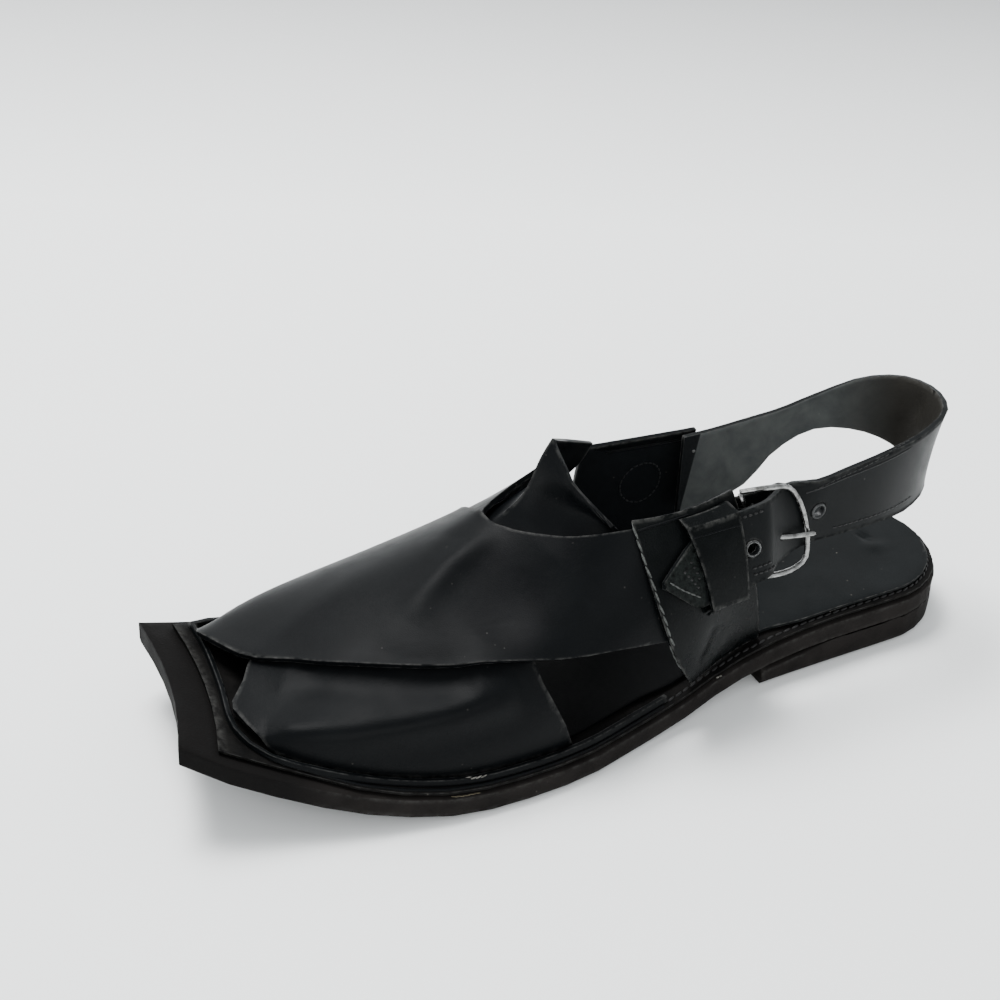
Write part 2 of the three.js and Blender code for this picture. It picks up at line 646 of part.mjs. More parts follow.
// A round pin through a pierced hole, reaching the depth to both sides of the outer face
function pin(hole, radius, depth) {
  const { spot, out } = pierced(hole);
  const turned = new THREE.Quaternion().setFromUnitVectors(new THREE.Vector3(0, 1, 0), out);
  const geometry = new THREE.CylinderGeometry(radius, radius, 2 * depth, 14);
  return solidOf(geometry.applyQuaternion(turned).translate(spot.x, spot.y, spot.z));
}

// A metal eyelet: a turned ring whose lip stands a little over the strap
function eyelet(hole) {
  const { spot, out } = pierced(hole);
  const turned = new THREE.Quaternion().setFromUnitVectors(new THREE.Vector3(0, 1, 0), out);
  const ring = [
    [EYELET_INNER, -STRAP],
    [EYELET_OUTER, -STRAP],
    [EYELET_OUTER, 0.2],
    [EYELET_OUTER - 0.5, 0.6],
    [EYELET_INNER + 0.3, 0.6],
    [EYELET_INNER, 0.2],
    [EYELET_INNER, -STRAP],
  ].map(([across, up]) => new THREE.Vector2(across, up));
  const geometry = new THREE.LatheGeometry(ring, 14);
  return solidOf(geometry.applyQuaternion(turned).translate(spot.x, spot.y, spot.z));
}

// A strip over the outer quarter, given by rows of [along, up, lift] that stand for its length
function strip(rows, thickness, columns = 4) {
  return slab(
    rows.map(([front, rear]) => {
      const row = [];
      for (let j = 0; j <= columns; j += 1) {
        const [y, z, lift] = front.map((value, k) => lerp(value, rear[k], j / columns));
        row.push([hug(-1, y, z, lift), hug(-1, y, z, lift + thickness)]);
      }
      return row;
    }),
  );
}

// The keeper loop: a bridge of leather over the strap's end, its feet on the quarter
function keeper() {
  const edge = (at, slant, up) => LENGTH * at + (up - KEEPER_EDGES.middle) * ANKLE_HEIGHT * slant;
  const rows = KEEPER.map(({ up, stand }) => {
    const lift = (y) => lerp(onQuarter(y), strapLift(y / LENGTH) + STRAP + 1.5 * GAP, stand);
    const front = edge(KEEPER_EDGES.front, KEEPER_SLANTS.front, up);
    const rear = edge(KEEPER_EDGES.rear, KEEPER_SLANTS.rear, up);
    const upper = clamp((up - KEEPER[0].up) / (KEEPER[KEEPER.length - 1].up - KEEPER[0].up), 0, 1);
    return [front, rear].map((y) => [y, up * ANKLE_HEIGHT - KEEPER_EDGES.dip * upper * (y - rear), lift(y)]);
  });
  return strip(rows, KEEPER_THICK);
}

// Where the buckle's bar runs at a height, as a share of the ankle height
function barAlong(up) {
  return LENGTH * lerp(BAR_LOW.along, BAR_HIGH.along, (up - BAR_LOW.up) / (BAR_HIGH.up - BAR_LOW.up));
}

// The chape: a fold of leather over the buckle's bar, its ends on the quarter
function chape() {
  const rows = CHAPE.map(({ ahead, stand }) =>
    [CHAPE_EDGES.low, CHAPE_EDGES.high].map((up) => {
      const y = barAlong(up) + ahead * WIRE;
      return [y, up * ANKLE_HEIGHT, onQuarter(y) + stand * (WIRE + GAP)];
    }),
  );
  return strip(rows, CHAPE_THICK, 8).subtract(prongWire(WIRE * 0.5 + GAP));
}

// Place on the strap's outer face at a distance along the foot and a height
function onStrap(y, z) {
  const curves = strapCurves();
  const ring = (t) => curves.map((curve) => curve.getPoint(t));
  let low = 0.5;
  let high = 0.9;
  for (let k = 0; k < 20; k += 1) {
    const middle = (low + high) / 2;
    if (ring(middle)[2].y < y) low = middle;
    else high = middle;
  }
  const spots = ring(low);
  const share = clamp((z - spots[0].z) / (spots[4].z - spots[0].z), 0, 1);
  return spots[0].clone().lerp(spots[4], share);
}

// Point over the outer quarter by shares of the buckle, from its bar towards the heel
function buckleSpot(back, up, stand) {
  const height = lerp(BAR_LOW.up, BAR_HIGH.up, up);
  const start = barAlong(height);
  const bar = hug(-1, start, height * ANKLE_HEIGHT, onQuarter(start) + WIRE / 2);
  const y = bar.y - back * BUCKLE_LENGTH;
  const clear = onStrap(y, bar.z).x - WIRE / 2 - 2 * GAP;
  return new THREE.Vector3(lerp(bar.x, clear, stand), y, bar.z);
}

// The buckle's frame: a bent wire and the bar that closes it
function buckleFrame() {
  const bent = BUCKLE.map(({ back, up, stand }) => buckleSpot(back, up, stand));
  const bar = [buckleSpot(0, 0.02, 0), buckleSpot(0, 0.5, 0), buckleSpot(0, 0.98, 0)];
  return wire(bent, WIRE / 2, 26).add(wire(bar, WIRE / 2 - 0.05, 3));
}

// The prong from the bar through the strap to the far side of the frame
function prongWire(radius) {
  const root = buckleSpot(WIRE / BUCKLE_LENGTH + 0.02, 0.48, 0);
  const tip = buckleSpot(0.98, 0.42, 1);
  tip.x -= WIRE + GAP;
  const middle = root.clone().lerp(tip, 0.5);
  middle.x -= WIRE / 3;
  return wire([root, middle, tip], radius, 8);
}

// The guard under the buckle: a round-ended tab on the inside of the outer quarter
function buckleGuard() {
  const rows = [];
  const steps = 14;
  const { low, high, front, end } = GUARD_EDGES;
  const half = ((high - low) / 2) * ANKLE_HEIGHT;
  for (let i = 0; i <= steps; i += 1) {
    const at = lerp(front, end, i / steps);
    const intoEnd = clamp((half - (at - end) * LENGTH) / half, 0, 0.97);
    const tall = half * Math.sqrt(1 - intoEnd * intoEnd);
    const ahead = smoothstep(at, end, QUARTER_RISE.from);
    const lift = lerp(GUARD_TUCK, CROSSING - GAP - GUARD_THICK, ahead);
    const row = [];
    for (let j = 0; j <= 6; j += 1) {
      const z = ((low + high) / 2) * ANKLE_HEIGHT + tall * (-1 + j / 3);
      row.push([hug(-1, at * LENGTH, z, lift), hug(-1, at * LENGTH, z, lift + GUARD_THICK)]);
    }
    rows.push(row);
  }
  return slab(rows);
}

const PIECES = [
  ["outsole", outsole, "sole"],
  ["heel_lift", heelLift, "sole"],
  ["midsole", midsole, "sole"],
  ["insole", insole, "lining"],
  ["rand", rand, "leather"],
  ["upper", upper, "leather"],
  ["tongue", tongue, "leather"],
  ["quarter_lateral", quarterLateral, "leather"],
  ["quarter_medial", quarterMedial, "leather"],
  ["heel_strap", heelStrap, "leather"],
  ["buckle_guard", buckleGuard, "lining"],
  ["keeper", keeper, "leather"],
  ["chape", chape, "leather"],
  ["buckle_frame", buckleFrame, "metal"],
  ["buckle_prong", () => prongWire(WIRE / 2 - 0.05), "metal"],
  ...EYELETS.map((hole, k) => [`eyelet_${k + 1}`, () => eyelet(hole), "metal"]),
];

// A named mesh of a solid
function piece(name, solid, colour) {
  const mesh = solid.getMesh();
  const geometry = new THREE.BufferGeometry();
  const step = mesh.numProp;
  const flat = new Float32Array(mesh.numVert * 3);
  for (let i = 0; i < mesh.numVert; i += 1) {
    flat.set(mesh.vertProperties.subarray(i * step, i * step + 3), i * 3);
  }
  geometry.setAttribute("position", new THREE.BufferAttribute(flat, 3));
  geometry.setIndex(new THREE.BufferAttribute(mesh.triVerts, 1));
  const made = new THREE.Mesh(geometry, new THREE.MeshStandardMaterial({ color: COLOURS[colour] }));
  made.name = name;
  return made;
}

const shoe = new THREE.Group();
for (const [name, build, colour] of PIECES) shoe.add(piece(name, build(), colour));

// The origin goes on the floor under the middle of the shoe's box
const middle = new THREE.Box3().setFromObject(shoe, true).getCenter(new THREE.Vector3());
for (const mesh of shoe.children) mesh.geometry.translate(-middle.x, -middle.y, 0);

export default shoe;
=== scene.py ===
# %% [markdown]
# # A peshawari chappal, dressed for its picture
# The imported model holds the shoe's solids in metres: +Y runs to the toe, +X to the inner side of
# the foot, +Z up, and the floor is z = 0. The solids have the right shape but flat facets, so each
# piece gets a finer skin here, and the thread, the creases and the finishes are added.

# %% Load the solids
import math
import bmesh
import bpy
from mathutils import Matrix, Vector
from mathutils.bvhtree import BVHTree
from mathutils.kdtree import KDTree


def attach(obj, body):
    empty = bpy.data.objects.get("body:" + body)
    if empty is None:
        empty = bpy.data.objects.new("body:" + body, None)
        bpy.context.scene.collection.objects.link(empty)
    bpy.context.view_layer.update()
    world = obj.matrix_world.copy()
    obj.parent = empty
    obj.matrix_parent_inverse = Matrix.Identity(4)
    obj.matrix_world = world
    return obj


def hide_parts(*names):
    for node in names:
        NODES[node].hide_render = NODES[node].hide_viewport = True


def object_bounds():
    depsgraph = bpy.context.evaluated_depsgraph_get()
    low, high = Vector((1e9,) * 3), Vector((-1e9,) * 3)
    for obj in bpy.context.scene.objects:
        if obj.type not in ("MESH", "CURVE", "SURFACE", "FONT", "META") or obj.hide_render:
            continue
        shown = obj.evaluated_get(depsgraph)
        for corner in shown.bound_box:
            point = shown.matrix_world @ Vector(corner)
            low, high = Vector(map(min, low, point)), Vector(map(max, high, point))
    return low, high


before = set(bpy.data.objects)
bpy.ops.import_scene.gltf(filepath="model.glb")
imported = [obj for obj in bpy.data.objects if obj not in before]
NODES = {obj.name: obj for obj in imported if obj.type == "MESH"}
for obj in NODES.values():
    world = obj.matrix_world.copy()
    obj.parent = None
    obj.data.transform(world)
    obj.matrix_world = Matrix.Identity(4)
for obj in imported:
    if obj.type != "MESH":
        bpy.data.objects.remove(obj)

MM = 0.001
CAD_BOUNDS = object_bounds()
box_mm = [[round(v / MM, 1) for v in corner] for corner in CAD_BOUNDS]
print("solids:", len(NODES), "box in mm:", box_mm)

# %% [markdown]
# ## The camera
# The photograph looks down on the outer side from before the toe, through a long lens. The place
# and the turns below come from the shoe's own corners, measured in the picture. A camera is placed
# by its matrix here: its columns are the picture's right, its up, and the way back to the eye.

# %% Camera
CAMERA_PLACE = Vector((-0.46433, 0.26632, 0.3883))
YAW = math.radians(-26.83)
PITCH = math.radians(30.84)
ROLL = math.radians(2.72)
LENS = 67.55
SENSOR = 36

ahead = Vector((math.cos(YAW) * math.cos(PITCH), math.sin(YAW) * math.cos(PITCH), -math.sin(PITCH)))
level = Vector((math.sin(YAW), -math.cos(YAW), 0))
above = level.cross(ahead)
right = math.cos(ROLL) * level + math.sin(ROLL) * above
upward = -math.sin(ROLL) * level + math.cos(ROLL) * above
camera_data = bpy.data.cameras.new("camera")
camera_data.lens = LENS
camera_data.sensor_width = SENSOR
camera = bpy.data.objects.new("camera", camera_data)
bpy.context.scene.collection.objects.link(camera)
rows = [[right[k], upward[k], -ahead[k], CAMERA_PLACE[k]] for k in range(3)]
camera.matrix_world = [[row[j] for row in rows] + [float(j == 3)] for j in range(4)]
bpy.context.scene.camera = camera
print("camera height in mm:", round(CAMERA_PLACE.z / MM, 1))

# %% [markdown]
# ## Shared effects
# Every leather here has fine pores, a little dust and worn edges. Each of these effects is a node
# group with named sockets, built once, and each material sets its own amounts. The groups read the
# object's coordinates, so a pattern keeps its size in millimetres on every piece. The wear follows
# an attribute called rim, which the skins below carry: 1 on a cut edge, 0 away from it.

# %% Node helpers
def new_group(name, takes, gives):
    """A shader group with inputs (name, kind, value) and outputs (name, kind)."""
    group = bpy.data.node_groups.new(name, "ShaderNodeTree")
    for label, kind, value in takes:
        socket = group.interface.new_socket(label, in_out="INPUT", socket_type=kind)
        if value is not None:
            socket.default_value = value
    for label, kind in gives:
        group.interface.new_socket(label, in_out="OUTPUT", socket_type=kind)
    return group, group.nodes.new("NodeGroupInput"), group.nodes.new("NodeGroupOutput")


def node(tree, kind, **settings):
    """One node: plain settings go on the node, and a name that is a socket's sets that socket."""
    made = tree.nodes.new("ShaderNode" + kind)
    for label, value in settings.items():
        title = label.replace("_", " ")
        if title in made.inputs:
            made.inputs[title].default_value = value
        else:
            setattr(made, label, value)
    return made


def math_node(tree, operation, first, second=0.5, clamp=False):
    """A Math node whose two values are numbers or sockets; gives its result."""
    made = tree.nodes.new("ShaderNodeMath")
    made.operation = operation
    made.use_clamp = clamp
    for socket, value in zip(made.inputs, (first, second)):
        if isinstance(value, bpy.types.NodeSocket):
            tree.links.new(value, socket)
        else:
            socket.default_value = value
    return made.outputs[0]


def ramp(tree, value, low, high, from_low=0.0, from_high=1.0):
    """A clamped straight change of a value from one range to another."""
    made = tree.nodes.new("ShaderNodeMapRange")
    tree.links.new(value, made.inputs["Value"])
    limits = {"From Min": from_low, "From Max": from_high, "To Min": low, "To Max": high}
    for label, number in limits.items():
        made.inputs[label].default_value = number
    return made.outputs["Result"]


def blend_tones(tree, share, first, second):
    """Mixes two colours, each a colour or a socket, by a share socket."""
    made = tree.nodes.new("ShaderNodeMix")
    made.data_type = "RGBA"
    tree.links.new(share, made.inputs[0])
    for socket, value in ((made.inputs[6], first), (made.inputs[7], second)):
        if isinstance(value, bpy.types.NodeSocket):
            tree.links.new(value, socket)
        else:
            socket.default_value = value
    return made.outputs[2]


print("node helpers ready")

# %% Pores and wrinkles of leather
FLOAT, VECTOR = "NodeSocketFloat", "NodeSocketVector"
pores, pores_in, pores_out = new_group(
    "leather_pores",
    [("Place", VECTOR, None), ("Pore Size", FLOAT, 0.5), ("Mottle Size", FLOAT, 14.0)],
    [("Height", FLOAT), ("Mottle", FLOAT)])
PER_METRE = 1000.0
per_metre = math_node(pores, "DIVIDE", PER_METRE, pores_in.outputs["Pore Size"])
cells = node(pores, "TexVoronoi", feature="SMOOTH_F1", Randomness=1.0)
fine = node(pores, "TexNoise", Detail=3.0, Roughness=0.6)
broad = node(pores, "TexNoise", Detail=4.0, Roughness=0.55, Distortion=0.4)
pores.links.new(pores_in.outputs["Place"], cells.inputs["Vector"])
pores.links.new(per_metre, cells.inputs["Scale"])
pores.links.new(pores_in.outputs["Place"], fine.inputs["Vector"])
pores.links.new(math_node(pores, "MULTIPLY", per_metre, 1.7), fine.inputs["Scale"])
pores.links.new(pores_in.outputs["Place"], broad.inputs["Vector"])
mottles = math_node(pores, "DIVIDE", PER_METRE, pores_in.outputs["Mottle Size"])
pores.links.new(mottles, broad.inputs["Scale"])
fine_share = math_node(pores, "MULTIPLY", fine.outputs["Fac"], 0.8)
grain = math_node(pores, "ADD", cells.outputs["Distance"], fine_share)
pores.links.new(grain, pores_out.inputs["Height"])
pores.links.new(ramp(pores, broad.outputs["Fac"], 0, 1, 0.32, 0.68), pores_out.inputs["Mottle"])
print("group:", pores.name)

# %% Worn edges
wear, wear_in, wear_out = new_group(
    "worn_edge",
    [("Place", VECTOR, None), ("Break Size", FLOAT, 3.0), ("Amount", FLOAT, 1.0)],
    [("Mask", FLOAT)])
rim = node(wear, "Attribute", attribute_name="rim")
patch = node(wear, "TexNoise", Detail=5.0, Roughness=0.65)
wear.links.new(wear_in.outputs["Place"], patch.inputs["Vector"])
breaks = math_node(wear, "DIVIDE", PER_METRE, wear_in.outputs["Break Size"])
wear.links.new(breaks, patch.inputs["Scale"])
rubbed_off = ramp(wear, patch.outputs["Fac"], 0, 1, 0.4, 0.66)
worn = math_node(wear, "MULTIPLY", rim.outputs["Fac"], rubbed_off)
worn = math_node(wear, "MULTIPLY", worn, wear_in.outputs["Amount"], clamp=True)
wear.links.new(worn, wear_out.inputs["Mask"])
print("group:", wear.name)

# %% Dust and small scuffs
dust, dust_in, dust_out = new_group(
    "dust_and_scuffs",
    [("Place", VECTOR, None), ("Speck Size", FLOAT, 5.0), ("Amount", FLOAT, 1.0)],
    [("Mask", FLOAT), ("Film", FLOAT)])
specks = node(dust, "TexVoronoi", feature="F1", Randomness=1.0)
film = node(dust, "TexNoise", Scale=42.0, Detail=6.0, Roughness=0.7)
strokes = node(dust, "TexNoise", Scale=1.0, Detail=2.0, Roughness=0.4)
drawn = node(dust, "Mapping", Rotation=(0.3, 0.2, 0.7), Scale=(900.0, 60.0, 400.0))
for target in (specks, film, drawn):
    dust.links.new(dust_in.outputs["Place"], target.inputs["Vector"])
dust.links.new(drawn.outputs["Vector"], strokes.inputs["Vector"])
speck_count = math_node(dust, "DIVIDE", PER_METRE, dust_in.outputs["Speck Size"])
dust.links.new(speck_count, specks.inputs["Scale"])
dots = ramp(dust, specks.outputs["Distance"], 1, 0, 0.04, 0.075)
lines = ramp(dust, strokes.outputs["Fac"], 0, 0.35, 0.78, 0.84)
marks = math_node(dust, "MAXIMUM", dots, lines)
patches = ramp(dust, film.outputs["Fac"], 0, 1, 0.5, 0.62)
spots = math_node(dust, "MULTIPLY", marks, patches)
spots = math_node(dust, "MULTIPLY", spots, dust_in.outputs["Amount"], clamp=True)
dust.links.new(spots, dust_out.inputs["Mask"])
dust.links.new(ramp(dust, film.outputs["Fac"], 0, 1, 0.35, 0.7), dust_out.inputs["Film"])
print("group:", dust.name)

# %% [markdown]
# ## Leather as a material
# The chappal is black leather that was polished and has been handled: a near-black dye coat with a
# soft satin gloss, pores finer than a grain of sand, and grey where an edge has lost its dye. One
# function sets up such a material, and each leather gives its own dye, gloss, pores and dust. So
# dark a leather shows little but its shine, which is kept low: shine is how much light the surface
# throws back like glass, and gloss how far that light spreads.

# %% Leather
RAW_EDGE = (0.09, 0.09, 0.085, 1)
DUST_TONE = (0.2, 0.19, 0.17, 1)
EDGE_ROUGHER, FILM_ROUGHER = 0.25, 0.06


def leather(name, dye, faded, gloss, shine, pore=0.45, relief=0.05, mottle=14.0, wear_amount=0.6,
            dusty=0.25, deep=None):
    """A leather: dye and faded are its two tones, gloss its least and most roughness. The pores, the
    mottle and the relief are in mm. deep, if given, is a darker tone that takes over towards the
    heel, with its two places along Y in mm."""
    made = bpy.data.materials.new(name)
    made.use_nodes = True
    tree = made.node_tree
    shader = tree.nodes["Principled BSDF"]
    place = node(tree, "TexCoord").outputs["Object"]
    skin, edge, dirt = (tree.nodes.new("ShaderNodeGroup") for _ in range(3))
    skin.node_tree, edge.node_tree, dirt.node_tree = pores, wear, dust
    for group in (skin, edge, dirt):
        tree.links.new(place, group.inputs["Place"])
    skin.inputs["Pore Size"].default_value = pore
    skin.inputs["Mottle Size"].default_value = mottle
    edge.inputs["Amount"].default_value = wear_amount
    dirt.inputs["Amount"].default_value = dusty
    tone = blend_tones(tree, skin.outputs["Mottle"], (*dye, 1), (*faded, 1))
    if deep:
        parts = node(tree, "SeparateXYZ")
        tree.links.new(place, parts.inputs[0])
        dark, start, end = deep
        near_heel = ramp(tree, parts.outputs["Y"], 0, 1, start * MM, end * MM)
        tone = blend_tones(tree, near_heel, tone, (*dark, 1))
    tone = blend_tones(tree, edge.outputs["Mask"], tone, RAW_EDGE)
    tone = blend_tones(tree, dirt.outputs["Mask"], tone, DUST_TONE)
    tree.links.new(tone, shader.inputs["Base Color"])
    rough = ramp(tree, skin.outputs["Mottle"], gloss[0], gloss[1])
    for mask, more in ((edge.outputs["Mask"], EDGE_ROUGHER), (dirt.outputs["Film"], FILM_ROUGHER)):
        rough = math_node(tree, "ADD", rough, math_node(tree, "MULTIPLY", mask, more))
    tree.links.new(rough, shader.inputs["Roughness"])
    shader.inputs["Specular IOR Level"].default_value = shine
    bump = node(tree, "Bump", Strength=0.6)
    bump.inputs["Distance"].default_value = relief * MM
    tree.links.new(skin.outputs["Height"], bump.inputs["Height"])
    tree.links.new(bump.outputs["Normal"], shader.inputs["Normal"])
    return made


BLACK_LEATHER = leather(
    "black_satin_leather", dye=(0.0018, 0.0022, 0.0026), faded=(0.0026, 0.0031, 0.0035),
    gloss=(0.32, 0.4), shine=0.058, wear_amount=0.4)
GLAZED_LEATHER = leather(
    "black_glazed_leather", dye=(0.0014, 0.0019, 0.0020), faded=(0.0024, 0.0030, 0.0031),
    gloss=(0.17, 0.27), shine=0.045, relief=0.08, mottle=7.0, wear_amount=0.5, dusty=0.12)
STRAP_LEATHER = leather(
    "black_strap_leather", dye=(0.0034, 0.0040, 0.0042), faded=(0.0055, 0.0062, 0.0066),
    gloss=(0.3, 0.4), shine=0.055, wear_amount=0.35, dusty=0.2)
GREY_LINING = leather(
    "grey_lining_leather", dye=(0.042, 0.046, 0.046), faded=(0.066, 0.07, 0.068),
    gloss=(0.45, 0.6), shine=0.08, pore=0.6, relief=0.1, mottle=9.0, wear_amount=0.3, dusty=0.5,
    deep=((0.016, 0.015, 0.013), -112, -134))
DARK_SUEDE = leather(
    "dark_suede_lining", dye=(0.0028, 0.0036, 0.0044), faded=(0.0044, 0.0056, 0.0064),
    gloss=(0.8, 0.95), shine=0.08, pore=0.35, relief=0.12, mottle=5.0, wear_amount=0.3, dusty=0.4)
INSOLE_LEATHER = leather(
    "black_insole_leather", dye=(0.0036, 0.0045, 0.0048), faded=(0.0064, 0.0074, 0.0078),
    gloss=(0.42, 0.52), shine=0.05, dusty=0.5)
WELT_LEATHER = leather(
    "dyed_welt_leather", dye=(0.0028, 0.0028, 0.0028), faded=(0.0062, 0.0059, 0.0056),
    gloss=(0.5, 0.62), shine=0.03, pore=0.7, relief=0.12, mottle=7.0, wear_amount=0.3, dusty=0.6)
SOLE_LEATHER = leather(
    "dyed_sole_edge", dye=(0.0085, 0.0076, 0.0072), faded=(0.0145, 0.013, 0.0122),
    gloss=(0.5, 0.64), shine=0.018, pore=0.8, relief=0.12, mottle=11.0, wear_amount=0.22, dusty=0.4)
WORN_TIP = leather(
    "worn_strap_tip", dye=(0.0008, 0.0011, 0.0011), faded=(0.010, 0.0125, 0.0115),
    gloss=(0.4, 0.6), shine=0.05, pore=1.9, relief=0.6, mottle=1.5, wear_amount=0.5, dusty=0.5)
print("leathers:", [m.name for m in bpy.data.materials if "leather" in m.name])

# %% [markdown]
# ## Metal
# The buckle is a bent wire with a bright plating, brushed by wear, and dark where it turns away
# from the light. The eyelets are the same metal under black paint that has rubbed off on the rim.
# A metal needs little colour; what makes it is the roughness, which changes along the scratches.

# %% Metal
ENAMEL = (0.012, 0.013, 0.014, 1)
ENAMEL_BREAK = 1.2
SCRATCH_RELIEF = 0.03


def metal(name, bright, dull, roughness, painted=False):
    """Worn plated wire, or with painted the black enamel over it, which is worn away at rims."""
    made = bpy.data.materials.new(name)
    made.use_nodes = True
    tree = made.node_tree
    shader = tree.nodes["Principled BSDF"]
    place = node(tree, "TexCoord").outputs["Object"]
    haze = node(tree, "TexNoise", Scale=260.0, Detail=5.0, Roughness=0.6)
    scratch = node(tree, "TexNoise", Scale=1.0, Detail=2.0)
    drawn = node(tree, "Mapping", Rotation=(0.5, 0.1, 0.3), Scale=(1800.0, 300.0, 1200.0))
    tree.links.new(place, haze.inputs["Vector"])
    tree.links.new(place, drawn.inputs["Vector"])
    tree.links.new(drawn.outputs["Vector"], scratch.inputs["Vector"])
    rubbed = ramp(tree, haze.outputs["Fac"], 0, 1, 0.4, 0.62)
    tone = blend_tones(tree, rubbed, (*bright, 1), (*dull, 1))
    if painted:
        edge = tree.nodes.new("ShaderNodeGroup")
        edge.node_tree = wear
        tree.links.new(place, edge.inputs["Place"])
        edge.inputs["Break Size"].default_value = ENAMEL_BREAK
        tone = blend_tones(tree, edge.outputs["Mask"], ENAMEL, tone)
        tree.links.new(edge.outputs["Mask"], shader.inputs["Metallic"])
    else:
        shader.inputs["Metallic"].default_value = 1.0
    tree.links.new(tone, shader.inputs["Base Color"])
    rough = ramp(tree, scratch.outputs["Fac"], *roughness, 0.3, 0.7)
    tree.links.new(rough, shader.inputs["Roughness"])
    bump = node(tree, "Bump", Strength=0.25)
    bump.inputs["Distance"].default_value = SCRATCH_RELIEF * MM
    tree.links.new(scratch.outputs["Fac"], bump.inputs["Height"])
    tree.links.new(bump.outputs["Normal"], shader.inputs["Normal"])
    return made


WIRE_METAL = metal(
    "worn_plated_wire", bright=(0.3, 0.3, 0.295), dull=(0.1, 0.1, 0.097), roughness=(0.12, 0.3))
EYELET_METAL = metal(
    "rubbed_black_eyelet", bright=(0.4, 0.4, 0.39), dull=(0.16, 0.16, 0.15), roughness=(0.22, 0.4),
    painted=True)
DULL_EYELET = metal(
    "dull_black_eyelet", bright=(0.05, 0.05, 0.048), dull=(0.025, 0.025, 0.024),
    roughness=(0.35, 0.5), painted=True)
print("metals made")

# %% [markdown]
# ## Skins
# A skin is a piece's own smooth surface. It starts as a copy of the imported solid. Its loose
# triangles are merged and joined to quads, its cut edges are creased, and a Subdivision Surface
# rounds all between them. A narrow bevel then takes the knife edge off, as a maker's edging iron
# does. The attribute rim, which the wear follows, is 1 on the cut edges.

# %% Skin helper
CUT_ANGLE = math.radians(38)
FLAT_ANGLE = math.radians(30)
SKEW_ANGLE = math.radians(60)
MERGE_GAP = 0.02
SMOOTH_ROUNDS = 2


def settle(piece, slot, *replaced):
    """Lets a finished piece ride on the shoe and stand for the solids that it replaces."""
    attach(piece, "root")
    if replaced:
        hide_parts(*replaced)
    return piece


def only(piece):
    """Selects one object and makes it active."""
    if bpy.context.mode != "OBJECT":
        bpy.ops.object.mode_set(mode="OBJECT")
    bpy.ops.object.select_all(action="DESELECT")
    piece.select_set(True)
    bpy.context.view_layer.objects.active = piece


def apply_all(piece):
    """Applies a piece's modifiers in their order."""
    only(piece)
    for modifier in list(piece.modifiers):
        bpy.ops.object.modifier_apply(modifier=modifier.name)


def mark_rims(piece):
    """Writes the attribute rim: 1 on each point of an edge that turns by more than CUT_ANGLE."""
    form = bmesh.new()
    form.from_mesh(piece.data)
    layer = form.verts.layers.float.new("rim")
    for edge in form.edges:
        if len(edge.link_faces) == 2 and edge.calc_face_angle() > CUT_ANGLE:
            for vert in edge.verts:
                vert[layer] = 1.0
    form.to_mesh(piece.data)
    form.free()


def dress(node_name, finish, slot, edge=0.3):
    """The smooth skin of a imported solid, with creased cut edges and a bevel (edge, in mm)."""
    piece = bpy.data.objects.new(node_name + "_skin", NODES[node_name].data.copy())
    bpy.context.scene.collection.objects.link(piece)
    only(piece)
    bpy.ops.object.mode_set(mode="EDIT")
    bpy.ops.mesh.select_all(action="SELECT")
    bpy.ops.mesh.remove_doubles(threshold=MERGE_GAP * MM)
    bpy.ops.mesh.tris_convert_to_quads(face_threshold=FLAT_ANGLE, shape_threshold=SKEW_ANGLE)
    bpy.ops.mesh.select_all(action="DESELECT")
    bpy.ops.mesh.edges_select_sharp(sharpness=CUT_ANGLE)
    bpy.ops.transform.edge_crease(value=1)
    bpy.ops.object.mode_set(mode="OBJECT")
    smooth = piece.modifiers.new("smooth", "SUBSURF")
    smooth.levels = smooth.render_levels = SMOOTH_ROUNDS
    apply_all(piece)
    mark_rims(piece)
    if edge:
        bevel = piece.modifiers.new("edge", "BEVEL")
        bevel.width = edge * MM
        bevel.segments = 2
        bevel.limit_method = "ANGLE"
        bevel.angle_limit = CUT_ANGLE
        apply_all(piece)
    piece.data.shade_smooth()
    piece.data.materials.clear()
    piece.data.materials.append(finish)
    settle(piece, slot, node_name)
    print(node_name, "skin faces:", len(piece.data.polygons))
    return piece


print("skin helper ready")

# %% [markdown]
# ## The sole's layers
# From the ground up the sole is a heel lift, an outsole, the thin midsole whose rim is the stitched
# ledge, the insole, and the rand laid round the forefoot. All are cut leather or rubber stained
# black, so each keeps its crisp cut edge, only a little broken by the bevel. At the heel the maker
# sands lift and outsole to one wall, so the top of the lift's wall is drawn out to the outsole's.

# %% Sole skins
heel_lift = dress("heel_lift", SOLE_LEATHER, "sole", edge=0.5)
outsole = dress("outsole", SOLE_LEATHER, "sole", edge=0.5)
midsole = dress("midsole", WELT_LEATHER, "welt_leather")
insole = dress("insole", INSOLE_LEATHER, "lining_leather", edge=0.4)
rand = dress("rand", BLACK_LEATHER, "welt_leather", edge=0)

# %% One wall at the heel
LIFT_TOP = 7.9
LIFT_RAISE = 2.2
RAISE_OVER = 1.2
WALL_LEVEL = 13.0
WALL_REACH = 5
WALL_STAND = 0.04
LIFT_SHORT = 0.45
LIFT_FOOT = 1.5
LEAST_ASIDE = 0.2


def tree_of(piece):
    """A search tree of a piece's faces, which answers what a straight line meets."""
    points = [vert.co for vert in piece.data.vertices]
    return BVHTree.FromPolygons(points, [tuple(face.vertices) for face in piece.data.polygons])


